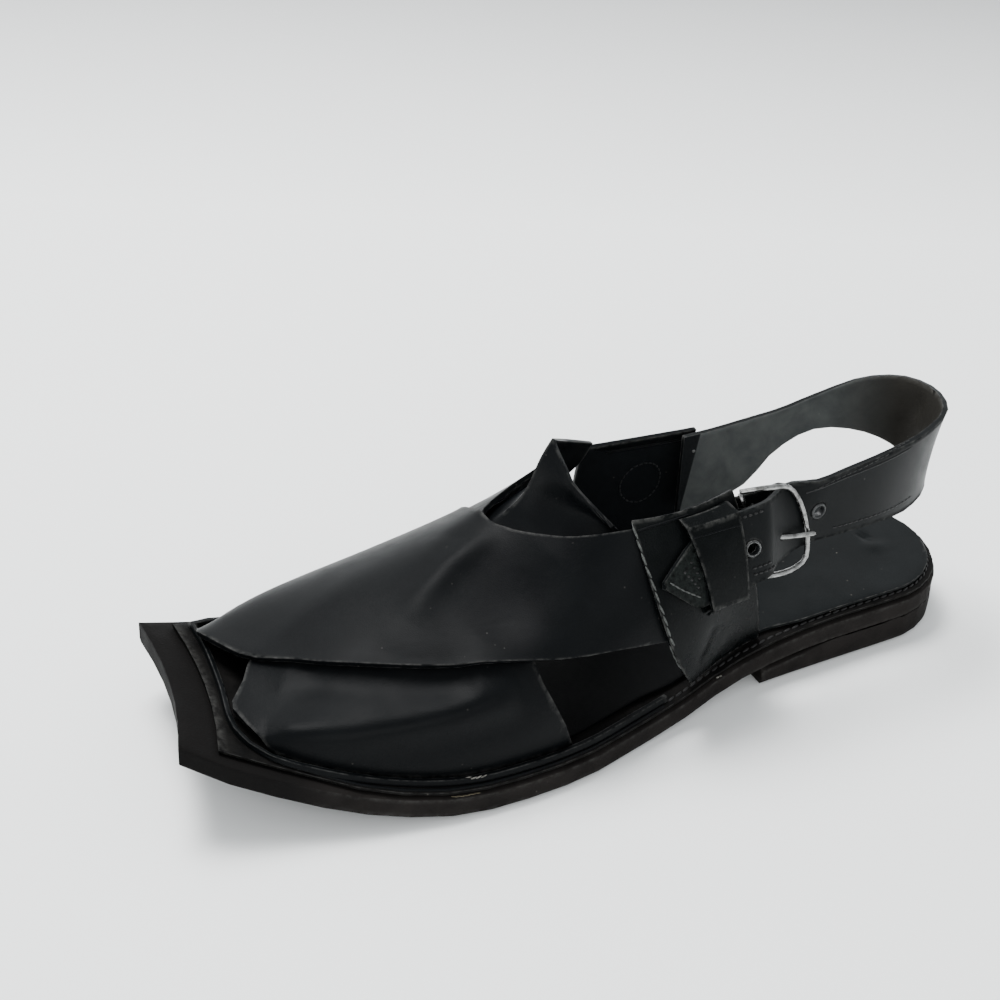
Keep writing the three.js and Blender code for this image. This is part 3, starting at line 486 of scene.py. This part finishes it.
wall = tree_of(outsole)
rims = heel_lift.data.attributes["rim"].data
drawn_out = 0
for vert in heel_lift.data.vertices:
    aside = Vector((vert.normal.x, vert.normal.y, 0))
    if aside.length < LEAST_ASIDE:
        continue
    aside.normalize()
    if vert.co.z > LIFT_TOP * MM:
        start = Vector((vert.co.x, vert.co.y, WALL_LEVEL * MM)) - aside * MM
        place, _, _, far = wall.ray_cast(start, aside)
        if place and far < WALL_REACH * MM:
            vert.co.z += min(1, (vert.co.z / MM - LIFT_TOP) / RAISE_OVER) * LIFT_RAISE * MM
            vert.co.xy = (place + aside * WALL_STAND * MM).xy
            rims[vert.index].value = 0
            drawn_out += 1
    elif vert.co.z > LIFT_FOOT * MM:
        vert.co += aside * LIFT_SHORT * MM
print("points drawn out to the outsole's wall:", drawn_out)

# %% [markdown]
# ## The leather above the sole
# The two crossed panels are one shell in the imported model, so they are one skin here. The tongue,
# the two quarters, the sling and the small tabs at the buckle follow in the same way.

# %% Upper skins
upper = dress("upper", BLACK_LEATHER, "upper_leather")
tongue = dress("tongue", BLACK_LEATHER, "upper_leather", edge=0.25)
quarter_lateral = dress("quarter_lateral", GLAZED_LEATHER, "upper_leather")
quarter_medial = dress("quarter_medial", BLACK_LEATHER, "upper_leather")
heel_strap = dress("heel_strap", STRAP_LEATHER, "upper_leather")
dress("buckle_guard", GLAZED_LEATHER, "upper_leather")
keeper = dress("keeper", GLAZED_LEATHER, "upper_leather", edge=0.25)
dress("chape", GLAZED_LEATHER, "upper_leather", edge=0.2)

# %% Metal skins
dress("buckle_frame", WIRE_METAL, "buckle_metal", edge=0)
dress("buckle_prong", WIRE_METAL, "buckle_metal", edge=0)
dress("eyelet_1", EYELET_METAL, "eyelet_metal", edge=0.1)
dress("eyelet_2", DULL_EYELET, "eyelet_metal", edge=0.1)

# %% [markdown]
# ## Two sides of one leather
# A strap or a quarter is black and polished outside, and lined inside with thinner leather that
# stays matt. On the model both sides are one skin, so the inner faces get a second material. They
# are found by their normals: they look towards a point inside the foot's room. The tip of the
# sling, which has been pulled through the keeper many times, gets a third, rubbed one.

# %% Linings
def line_inside(piece, finish, centre, least=0.25, flat=False):
    """Gives the faces that look at a point (mm) a second material; flat leaves height out."""
    piece.data.materials.append(finish)
    middle = Vector(centre) * MM
    count = 0
    for face in piece.data.polygons:
        towards = middle - face.center
        if flat:
            towards.z = 0
        if face.normal.dot(towards.normalized()) > least:
            face.material_index = len(piece.data.materials) - 1
            count += 1
    print(piece.name, "lined faces:", count)


line_inside(heel_strap, GREY_LINING, (0, -75, 60), flat=True)
line_inside(quarter_medial, DARK_SUEDE, (0, -40, 45), least=0.5)
line_inside(quarter_lateral, DARK_SUEDE, (0, -40, 45), least=0.5)
line_inside(upper, DARK_SUEDE, (0, 20, 20), least=0.3)

# %% The worn tip of the sling
TIP_START = -23
TIP_ASIDE = -25
LOOKS_OUT = -0.3

heel_strap.data.materials.append(WORN_TIP)
worn_index = len(heel_strap.data.materials) - 1
worn_count = 0
for face in heel_strap.data.polygons:
    at_tip = face.center.y > TIP_START * MM and face.center.x < TIP_ASIDE * MM
    if at_tip and face.normal.x < LOOKS_OUT:
        face.material_index = worn_index
        worn_count += 1
print("worn faces:", worn_count)

# %% [markdown]
# ## Places on the shoe
# Threads and scuffs are easiest to place where they are seen. A straight line from the camera
# through a point of the picture meets the skin at one place, and that place, with the direction
# the skin faces there, is where the stitch goes. The picture is taken as 1000 by 1000 points.

# %% Where a sight line meets a skin
FRAME = 1000
WIDE = SENSOR / LENS


def seen(tree, across, down):
    """The place and the normal where the line of sight through a picture point meets a skin."""
    aside, over = (across / FRAME - 0.5) * WIDE, (0.5 - down / FRAME) * WIDE
    line = ahead + right * aside + upward * over
    place, normal, _, _ = tree.ray_cast(CAMERA_PLACE, line.normalized())
    return place, normal


def walk(points, pitch):
    """Places at an even pitch (mm) along a line of points, each with its direction."""
    out, run, mark = [], 0.0, pitch * MM / 2
    for first, second in zip(points, points[1:]):
        span = (second - first).length
        while span and mark <= run + span:
            out.append((first.lerp(second, (mark - run) / span), (second - first).normalized()))
            mark += pitch * MM
        run += span
    return out


def laid(tree, points, steps=24):
    """A line of a few points, filled in and laid on the nearest skin."""
    filled = []
    for first, second in zip(points, points[1:]):
        for k in range(steps):
            filled.append(first.lerp(second, k / steps))
    filled.append(points[-1])
    return [tree.find_nearest(p)[0] for p in filled]


CREASE_STEPS = 16
LEAST_MOVE = 0.01
END_SHARE = 0.02


def press(piece, corners, depth, width, ends=0.3):
    """A soft trough along picture points, or a ridge if depth < 0; mm, dying out at its ends."""
    tree = tree_of(piece)
    hits = [seen(tree, *corner) for corner in corners]
    hits = [hit for hit in hits if hit[0] is not None]
    line = []
    for (place, out), (later, turned) in zip(hits, hits[1:]):
        for k in range(CREASE_STEPS):
            share = k / CREASE_STEPS
            line.append((place.lerp(later, share), out.lerp(turned, share).normalized()))
    finder = KDTree(len(line))
    for order, (place, _) in enumerate(line):
        finder.insert(place, order)
    finder.balance()
    moved = 0
    for vert in piece.data.vertices:
        _, order, gap = finder.find(vert.co)
        share = order / (len(line) - 1)
        fade = math.sin(min(1, min(share, 1 - share) / ends + END_SHARE) * math.pi / 2)
        deep = depth * fade * math.exp(-(gap / (width * MM)) ** 2)
        if abs(deep) > LEAST_MOVE:
            vert.co -= line[order][1] * deep * MM
            moved += 1
    print(piece.name, "points moved by a crease:", moved)


def shown(place):
    """The picture point where a place of the scene is seen."""
    line = place - CAMERA_PLACE
    far = line.dot(ahead) * WIDE
    return (0.5 + line.dot(right) / far) * FRAME, (0.5 - line.dot(upward) / far) * FRAME


def within(corners, across, down):
    """True where a picture point lies inside a closed line of picture points."""
    crossings = 0
    for (x1, y1), (x2, y2) in zip(corners, corners[1:] + corners[:1]):
        if (y1 > down) != (y2 > down):
            crossings += across < x1 + (down - y1) / (y2 - y1) * (x2 - x1)
    return crossings % 2 == 1


SAME_PLACE = 1.2


def finish_seen(piece, corners, finish):
    """Gives another material to the faces that are seen inside a closed line of picture points."""
    tree = tree_of(piece)
    piece.data.materials.append(finish)
    count = 0
    for face in piece.data.polygons:
        spot = shown(face.center)
        if within(corners, *spot):
            place, _ = seen(tree, *spot)
            if place is not None and (place - face.center).length < SAME_PLACE * MM:
                face.material_index = len(piece.data.materials) - 1
                count += 1
    print(piece.name, "faces given", finish.name + ":", count)


print("picture spans", round(WIDE, 4), "of its distance")

# %% [markdown]
# ## Creases
# A vamp that has been worn folds where the toes bend, and stiff leather keeps a ridge where it was
# pulled over the edge of the last. Each is placed here one by one: a line is drawn on the skin, and the
# points near it move along the skin's own direction, most on the line and less beside it.

# %% Ridges of the two panels
press(upper, [(503, 523), (472, 546), (447, 567), (424, 594), (404, 624), (390, 655)], -1.6, 12.0, ends=0.35)
press(upper, [(498, 526), (472, 546), (447, 567), (424, 594), (404, 624)], -1.2, 5.0, ends=0.4)
press(upper, [(560, 560), (530, 590), (505, 615), (480, 640)], 1.6, 13.0, ends=0.5)
LOW_RIDGE = [(548, 678), (520, 692), (490, 703), (450, 716), (400, 729), (350, 735), (300, 735), (262, 730)]
press(upper, LOW_RIDGE, -2.8, 6.0, ends=0.15)
press(upper, [(535, 662), (480, 675), (420, 680), (350, 682), (280, 680)], 2.2, 8.0, ends=0.2)
press(upper, [(540, 715), (480, 735), (420, 750), (350, 758)], 1.0, 5.0, ends=0.3)

# %% Creases of the sling, the insole and the quarters
press(insole, [(859, 535), (867, 536)], 1.3, 2.2, ends=0.05)
press(insole, [(871, 542), (880, 550)], -0.5, 4.0, ends=0.3)
press(heel_strap, [(925, 372), (921, 395), (915, 420)], 0.7, 2.6)
press(heel_strap, [(905, 378), (900, 400), (893, 422)], -0.6, 3.0)
press(heel_strap, [(716, 455), (745, 448), (770, 430)], 0.5, 3.0)
press(heel_strap, [(722, 472), (745, 470), (765, 462)], -0.5, 2.6)
press(quarter_lateral, [(700, 668), (715, 645), (722, 620)], 0.8, 5.0)
press(tongue, [(560, 470), (540, 500), (530, 520)], -0.8, 5.0)

# %% [markdown]
# ## Borders in a leather
# The lining of the sling ends in a slanted dark border where it is sewn to the inner quarter. The
# insole is darker ahead of a line, a painted shade for the dark under the upper, and the toe shelf is
# darker and greyer ahead of another line. Each is a change of tone at a flat border, made in the
# material. The folded top of the inner quarter is the outer leather turned in, so those faces get the outer
# leather.

# %% Leathers that change tone at a border
def shade_beyond(finish, place, across, tone, soft):
    """Gives a leather another tone beyond a flat border through a place; soft is its width in mm."""
    tree = finish.node_tree
    shader = tree.nodes["Principled BSDF"]
    before = shader.inputs["Base Color"].links[0].from_socket
    depth = node(tree, "VectorMath", operation="DOT_PRODUCT")
    tree.links.new(node(tree, "TexCoord").outputs["Object"], depth.inputs[0])
    depth.inputs[1].default_value = across
    start = across.dot(place)
    share = ramp(tree, depth.outputs["Value"], 0, 1, start, start + soft * MM)
    tree.links.new(blend_tones(tree, share, before, (*tone, 1)), shader.inputs["Base Color"])


TOWARDS_TOE = Vector((0, 1, 0))
INSOLE_SHADE_BORDER = Vector((0, -52, 0)) * MM
SHELF_BORDER = Vector((0, 100, 0)) * MM
strap_skin = tree_of(heel_strap)
border_top, border_out = seen(strap_skin, 701, 434)
border_low, _ = seen(strap_skin, 683, 500)
border_across = (border_low - border_top).cross(border_out).normalized()
if border_across.y < 0:
    border_across = -border_across
shade_beyond(GREY_LINING, border_top, border_across, (0.0028, 0.0036, 0.0042), 0.4)
# Painted shade: the insole goes near black towards the toe, where the upper shades it.
shade_beyond(INSOLE_LEATHER, INSOLE_SHADE_BORDER, TOWARDS_TOE, (0.0006, 0.0008, 0.001), 24)
shade_beyond(SOLE_LEATHER, SHELF_BORDER, TOWARDS_TOE, (0.0055, 0.0052, 0.0051), 20)
FOLDED_EDGE = [(596, 438), (700, 422), (700, 436), (596, 453)]
finish_seen(quarter_medial, FOLDED_EDGE, BLACK_LEATHER)
print("borders drawn")

# %% [markdown]
# ## Thread
# A stitch is a short, thick dash of waxed thread that dips into its holes at both ends. It is
# modelled once: a small sphere of few faces. It is then copied along each seam, pulled long,
# turned to the seam and sunk half into the skin, and a seam's copies become one piece.

# %% One stitch and a seam of them
bpy.ops.object.select_all(action="DESELECT")
bpy.ops.mesh.primitive_uv_sphere_add(
    segments=6, ring_count=5, radius=0.5, location=(0, 0, 0), rotation=(0, math.pi / 2, 0))
stitch = bpy.context.object
bpy.ops.object.transform_apply(location=True, rotation=True, scale=True)
STITCH_POINTS = [v.co.copy() for v in stitch.data.vertices]
STITCH_FACES = [tuple(f.vertices) for f in stitch.data.polygons]
STITCH_LIFT = 0.15
bpy.data.objects.remove(stitch)


def seam(name, tree, marks, length, width, finish, slot="upper_leather", rise=0.3, slant=0.0):
    """Stitches at the marks (place, direction) on a skin; sizes in mm, slant in degrees."""
    points, faces = [], []
    for place, along in marks:
        foot, out, _, _ = tree.find_nearest(place)
        along = (along - out * along.dot(out)).normalized()
        along = Matrix.Rotation(math.radians(slant), 3, out) @ along
        side = out.cross(along)
        start = len(points)
        for p in STITCH_POINTS:
            over = p.z * 2 * rise + rise * STITCH_LIFT
            points.append(foot + (along * p.x * length + side * p.y * width + out * over) * MM)
        faces += [tuple(start + k for k in face) for face in STITCH_FACES]
    mesh = bpy.data.meshes.new(name)
    mesh.from_pydata(points, [], faces)
    mesh.shade_smooth()
    piece = bpy.data.objects.new(name, mesh)
    bpy.context.scene.collection.objects.link(piece)
    mesh.materials.append(finish)
    settle(piece, slot)
    print(name, "stitches:", len(points) // len(STITCH_POINTS))
    return piece


print("a stitch has", len(STITCH_FACES), "faces")

# %% Thread finishes
TWIST_RELIEF = 0.1


def thread(name, tone, worn, roughness=0.7):
    """Waxed thread or a raw fibre: two mixed tones, with a fine twist in relief."""
    made = bpy.data.materials.new(name)
    made.use_nodes = True
    tree = made.node_tree
    shader = tree.nodes["Principled BSDF"]
    shader.inputs["Specular IOR Level"].default_value = 0.3
    place = node(tree, "TexCoord").outputs["Object"]
    fibre = node(tree, "TexNoise", Scale=900.0, Detail=3.0, Roughness=0.7)
    tree.links.new(place, fibre.inputs["Vector"])
    share = ramp(tree, fibre.outputs["Fac"], 0, 1, 0.35, 0.65)
    tree.links.new(blend_tones(tree, share, (*tone, 1), (*worn, 1)), shader.inputs["Base Color"])
    rough = ramp(tree, fibre.outputs["Fac"], roughness - 0.1, roughness + 0.15)
    tree.links.new(rough, shader.inputs["Roughness"])
    bump = node(tree, "Bump", Strength=0.5)
    bump.inputs["Distance"].default_value = TWIST_RELIEF * MM
    tree.links.new(fibre.outputs["Fac"], bump.inputs["Height"])
    tree.links.new(bump.outputs["Normal"], shader.inputs["Normal"])
    return made


BLACK_THREAD = thread("black_waxed_thread", (0.003, 0.003, 0.0032), (0.009, 0.009, 0.009), 0.5)
GREY_THREAD = thread("worn_grey_thread", (0.022, 0.024, 0.023), (0.075, 0.08, 0.075))
print("threads made")

# %% [markdown]
# ## The welt's stitching
# The sole's layers are held by one row of thick stitches on the ledge. It shows round the heel and
# the waist, and the rand covers it in front. The row keeps an even distance from the rim, so it
# starts from the rim itself: the edges of the midsole where an upward face meets the wall make one
# closed loop. The loop is walked at an even pitch and each mark is moved inwards, then laid on the
# ledge.

# %% Round the ledge
def rim_loop(piece, least_up=0.55):
    """The longest closed line of edges between a piece's upward faces and its walls."""
    form = bmesh.new()
    form.from_mesh(piece.data)
    form.normal_update()
    nexts = {}
    for edge in form.edges:
        if len(edge.link_faces) == 2:
            ups = [face.normal.z > least_up for face in edge.link_faces]
            if ups[0] != ups[1]:
                for one, other in (edge.verts, reversed(edge.verts)):
                    nexts.setdefault(one.index, []).append(other.index)
    places = {v.index: v.co.copy() for v in form.verts}
    form.free()
    best, left = [], set(nexts)
    while left:
        start = left.pop()
        chain, now = [start], start
        while True:
            onward = [n for n in nexts[now] if n in left]
            if not onward:
                break
            now = onward[0]
            left.discard(now)
            chain.append(now)
        if len(chain) > len(best):
            best = chain
    return [places[k] for k in best] + [places[best[0]]]


def inwards(points, marks, inset):
    """Moves marks along the floor to the inner side of the loop that they follow."""
    area = sum(a.x * b.y - b.x * a.y for a, b in zip(points, points[1:]))
    turn = 1 if area > 0 else -1
    return [(p + Vector((-d.y, d.x, 0)).normalized() * turn * inset * MM, d) for p, d in marks]


ledge_tree = tree_of(midsole)
ledge_rim = rim_loop(midsole)
rim_length = sum((a - b).length for a, b in zip(ledge_rim, ledge_rim[1:]))
print("rim points:", len(ledge_rim), "length mm:", round(rim_length / MM))
WELT_PITCH = 3.6
WELT_INSET = 2.1
welt_marks = inwards(ledge_rim, walk(ledge_rim, WELT_PITCH), WELT_INSET)
RAND_START = -14.5
welt_marks = [(p, d) for p, d in welt_marks if p.y < RAND_START * MM]
seam("welt_stitches", ledge_tree, welt_marks, 3.3, 1.0, BLACK_THREAD, "welt_leather", 0.45, 8)

# %% [markdown]
# ## Cords and folded edges
# The rand is twinned: a finer ridge runs beside the round one. Where a quarter's or a keeper's edge
# is turned over and glued, its cut rim shows as a fine raised line. Both are cords: a curve with a
# round section, drawn along the place and turned into a mesh.

# %% Cords
def cord(name, points, radius, finish, slot="upper_leather"):
    """A round cord (radius in mm) through places."""
    data = bpy.data.curves.new(name, "CURVE")
    data.dimensions = "3D"
    data.bevel_depth = radius * MM
    data.bevel_resolution = 1
    data.use_fill_caps = True
    path = data.splines.new("POLY")
    path.points.add(len(points) - 1)
    for spot, place in zip(path.points, points):
        spot.co = (*place, 1)
    piece = bpy.data.objects.new(name, data)
    bpy.context.scene.collection.objects.link(piece)
    only(piece)
    bpy.ops.object.convert(target="MESH")
    piece = bpy.context.object
    piece.data.shade_smooth()
    piece.data.materials.append(finish)
    settle(piece, slot)
    print(name, "faces:", len(piece.data.polygons))
    return piece


def met(tree, corners):
    """The places where the sight lines through picture points meet a skin."""
    places = [seen(tree, *corner)[0] for corner in corners]
    return [place for place in places if place is not None]


def picture_cord(name, tree, corners, radius, finish):
    """A cord through picture points, laid on a skin."""
    return cord(name, laid(tree, met(tree, corners), 8), radius, finish)


RIDGE_INSET = 1.25
RIDGE_PITCH = 2.4
RIDGE_RADIUS = 0.55
RIDGE_END = 112
ridge = [p for p, _ in inwards(ledge_rim, walk(ledge_rim, RIDGE_PITCH), RIDGE_INSET)]
lowest = min(range(len(ridge)), key=lambda k: ridge[k].y)
ridge = ridge[lowest:] + ridge[:lowest]
toe = max(range(len(ridge)), key=lambda k: ridge[k].y)
for name, part in (("ridge_a", ridge[:toe]), ("ridge_b", ridge[toe:])):
    part = [p for p in part if RAND_START * MM < p.y < RIDGE_END * MM]
    part = [ledge_tree.find_nearest(p)[0] for p in part]
    cord(name, part, RIDGE_RADIUS, BLACK_LEATHER, "welt_leather")

# %% [markdown]
# ## Seams of the quarters and the sling
# The quarter's front edge is sewn with a thick thread whose black has worn to grey. The sling has
# a fine seam just under its top edge and another over its lower edge, and two short double rows
# where its end is doubled, beside the buckle. Each seam is drawn as a few picture points.

# %% Visible seams
def picture_seam(name, tree, corners, pitch, length, width, finish, **more):
    """A seam through picture points, laid on a skin."""
    marks = walk(laid(tree, met(tree, corners)), pitch)
    return seam(name, tree, marks, length, width, finish, **more)


quarter_tree = tree_of(quarter_lateral)
strap_tree = tree_of(heel_strap)
suede_tree = tree_of(quarter_medial)
keeper_tree = tree_of(keeper)
EDGE_SHIFT = Vector((0, 1.0, 0)) * MM
front_line = met(quarter_tree, [(636, 526), (648, 563), (661, 600), (672, 635), (684, 672)])
front_line = laid(quarter_tree, [place + EDGE_SHIFT for place in front_line])
seam("quarter_front_seam", quarter_tree, walk(front_line, 4.4), 4.5, 0.8, GREY_THREAD, slant=7)
picture_cord(
    "quarter_lateral_fold", quarter_tree,
    [(638, 531), (650, 527), (670, 521), (688, 515)], 0.4, BLACK_LEATHER)
picture_cord(
    "quarter_medial_fold", suede_tree,
    [(606, 452), (630, 448), (660, 443), (692, 437)], 0.45, BLACK_LEATHER)
picture_cord(
    "keeper_fold", keeper_tree,
    [(693, 538), (706, 535), (722, 530), (740, 525)], 0.35, BLACK_LEATHER)

# %% Seams of the sling
EDGE_SEAMS = {
    "strap_top_seam": [(812, 491), (835, 480), (860, 469), (885, 456), (910, 440)],
    "strap_low_seam": [(832, 528), (860, 520), (890, 509), (910, 497)],
}
END_SEAMS = {
    "strap_end_seam_a": [(752, 569), (773, 560)],
    "strap_end_seam_b": [(753, 575), (774, 566)],
    "strap_end_seam_c": [(742, 518), (765, 510)],
}
for name, corners in EDGE_SEAMS.items():
    picture_seam(name, strap_tree, corners, 2.3, 1.9, 0.55, BLACK_THREAD, rise=0.22)
for name, corners in END_SEAMS.items():
    picture_seam(name, strap_tree, corners, 2.0, 1.5, 0.9, BLACK_THREAD, rise=0.45)
picture_seam(
    "strap_tip_seam", strap_tree,
    [(670, 583), (684, 591), (702, 598)], 2.3, 2.4, 0.6, GREY_THREAD, rise=0.25)
picture_seam(
    "strap_tip_pits_a", strap_tree,
    [(683, 571), (690, 578), (699, 588)], 1.9, 1.0, 0.9, BLACK_THREAD, slant=20)
picture_seam(
    "strap_tip_pits_b", strap_tree,
    [(690, 560), (696, 570), (700, 580)], 2.1, 1.2, 0.7, BLACK_THREAD, slant=60)
picture_cord(
    "strap_top_line", strap_tree,
    [(806, 493), (840, 480), (880, 464), (912, 447)], 0.28, BLACK_THREAD)

# %% [markdown]
# ## The stud and its ring of stitches
# The inner quarter carries a small boss with a round of stitches, seen from both sides, and a
# little rivet near its upper rear corner. The ring is a circle laid on the leather.

# %% Ring and rivet
RING_RADIUS = 8.3
RING_STITCHES = 26
LEATHER_THROUGH = -5.0
RING_THREAD = thread("dark_ring_thread", (0.003, 0.0035, 0.004), (0.008, 0.009, 0.0095))
RIVET = thread("dull_rivet", (0.05, 0.052, 0.05), (0.12, 0.125, 0.12), 0.5)
ring_middle, ring_out = seen(suede_tree, 640, 482)
ring_side = ring_out.cross(Vector((0, 0, 1))).normalized()
ring_up = ring_side.cross(ring_out)
for name, shift in (("ring_inside", 0.0), ("ring_outside", LEATHER_THROUGH)):
    marks = []
    for k in range(RING_STITCHES):
        turn = 2 * math.pi * k / RING_STITCHES
        spoke = ring_side * math.cos(turn) + ring_up * math.sin(turn)
        swing = ring_up * math.cos(turn) - ring_side * math.sin(turn)
        marks.append((ring_middle + (spoke * RING_RADIUS + ring_out * shift) * MM, swing))
    seam(name, suede_tree, marks, 1.7, 0.7, RING_THREAD)
picture_seam(
    "rivet", strap_tree, [(692, 451), (695, 451)], 1.2, 1.4, 1.3, RIVET,
    slot="buckle_metal", rise=0.5)

# %% [markdown]
# ## Scuffs
# Wear shows most where the shoe touches the ground or a door: pale raw spots on the ledge, a chip at
# the arch and a few flecks at the heel. Each is a low flake of raw leather laid on the skin.

# %% Scuffs and chips
RAW_LEATHER = thread("raw_leather", (0.07, 0.068, 0.06), (0.22, 0.21, 0.19), 0.8)
TAN_LEATHER = thread("raw_tan_leather", (0.05, 0.043, 0.028), (0.15, 0.13, 0.085), 0.8)
rand_tree = tree_of(rand)
sole_tree = tree_of(outsole)
picture_seam(
    "scuff_rand", rand_tree, [(466, 777), (474, 778), (485, 776)], 1.7, 2.2, 0.5, RAW_LEATHER,
    slot="welt_leather", rise=0.12, slant=20)
picture_seam(
    "scuff_ledge", sole_tree, [(452, 797), (464, 796), (478, 793)], 1.9, 2.6, 0.45, TAN_LEATHER,
    slot="welt_leather", rise=0.1, slant=-8)
picture_seam(
    "chip_heel", ledge_tree, [(829, 611), (835, 609)], 1.0, 1.6, 1.0, RAW_LEATHER,
    slot="welt_leather", rise=0.25, slant=30)
picture_seam(
    "chip_arch", sole_tree, [(716, 678), (721, 676)], 1.2, 1.2, 0.7, RAW_LEATHER,
    slot="welt_leather", rise=0.25)
picture_seam(
    "chips_rear", sole_tree, [(880, 595), (899, 588)], 2.4, 0.9, 0.6, RAW_LEATHER,
    slot="welt_leather", rise=0.2)

# %% [markdown]
# ## The floor and the light
# The photograph is a plain product shot on a pale seamless floor under wide soft light from above.
# One big panel over the shoe makes the long soft shine on the crest of the vamp, and two weaker
# ones keep the rear and the front from going black. A fourth lamp, which no gloss shows, lights
# the floor and gives the soft shadow. The rest is a plain pale surrounding.

# %% Floor
# The floor's paint darkens from near to far along the view. This is a painted shade that stands in for the
# light falling off towards the back, with a little random cloud mixed in.
NEAR_TONE = (0.92, 0.935, 0.93, 1)
FALLOFF_TONE = (0.36, 0.365, 0.37, 1)
NEAR_EDGE, FAR_EDGE = 0.35, 0.9
CLOUD_SHARE = 0.06
FLOOR_SIZE = 16

bpy.ops.object.select_all(action="DESELECT")
bpy.ops.mesh.primitive_plane_add(size=FLOOR_SIZE, location=(0, 0, 0))
floor = bpy.context.object
floor.name = "floor"
floor_paint = bpy.data.materials.new("pale_floor")
floor_paint.use_nodes = True
floor_tree = floor_paint.node_tree
floor_shader = floor_tree.nodes["Principled BSDF"]
floor_shader.inputs["Roughness"].default_value = 0.85
floor_shader.inputs["Specular IOR Level"].default_value = 0.2
floor_place = node(floor_tree, "TexCoord").outputs["Object"]
cloud = node(floor_tree, "TexNoise", Scale=3.0, Detail=3.0)
floor_tree.links.new(floor_place, cloud.inputs["Vector"])
depth = node(floor_tree, "VectorMath", operation="DOT_PRODUCT")
floor_tree.links.new(floor_place, depth.inputs[0])
depth.inputs[1].default_value = (ahead.x, ahead.y, 0)
# Painted shade: the share of the dark far tone grows away from the camera.
falloff_share = ramp(floor_tree, depth.outputs["Value"], 0, 1, NEAR_EDGE, FAR_EDGE)
cloud_share = math_node(floor_tree, "MULTIPLY", cloud.outputs["Fac"], CLOUD_SHARE)
falloff_share = math_node(floor_tree, "ADD", falloff_share, cloud_share, clamp=True)
floor_tone = blend_tones(floor_tree, falloff_share, NEAR_TONE, FALLOFF_TONE)
floor_tree.links.new(floor_tone, floor_shader.inputs["Base Color"])
floor.data.materials.append(floor_paint)
print("floor laid")

# %% Light
SHOE_MIDDLE = (0, 0, 0.03)
ON_FLOOR = (0, 0, 0)


def soft_light(name, place, aim, size, power):
    """A square lamp at a place, turned to the point that it lights."""
    data = bpy.data.lights.new(name, "AREA")
    data.size = size
    data.energy = power
    lamp = bpy.data.objects.new(name, data)
    bpy.context.scene.collection.objects.link(lamp)
    lamp.location = place
    lamp.rotation_euler = (Vector(aim) - Vector(place)).to_track_quat("-Z", "Y").to_euler()
    return lamp


soft_light("key_panel", (0.589, 0.158, 1.370), SHOE_MIDDLE, 0.75, 19)
soft_light("back_panel", (1.458, 0.102, 0.651), SHOE_MIDDLE, 1.0, 1.2)
soft_light("front_panel", (-1.06, 0.385, 0.68), SHOE_MIDDLE, 0.8, 5)
floor_lamp = soft_light("floor_lamp", (0.45, 0.25, 1.5), ON_FLOOR, 0.7, 26)
floor_lamp.visible_glossy = False

NEAR_FLOOR, OVERHEAD, REAR_GAIN = 1.7, 0.9, 0.2
FULL_HEIGHT = 0.85
world = bpy.data.worlds.new("studio")
bpy.context.scene.world = world
world.use_nodes = True
sky = world.node_tree
background = sky.nodes["Background"]
background.inputs["Color"].default_value = (0.95, 0.98, 1, 1)
look = node(sky, "SeparateXYZ")
sky.links.new(node(sky, "TexCoord").outputs["Generated"], look.inputs[0])
height = ramp(sky, look.outputs["Z"], NEAR_FLOOR, OVERHEAD, 0.0, FULL_HEIGHT)
rear_light = math_node(sky, "MULTIPLY", look.outputs["X"], REAR_GAIN)
strength = math_node(sky, "ADD", height, rear_light)
sky.links.new(strength, background.inputs["Strength"])
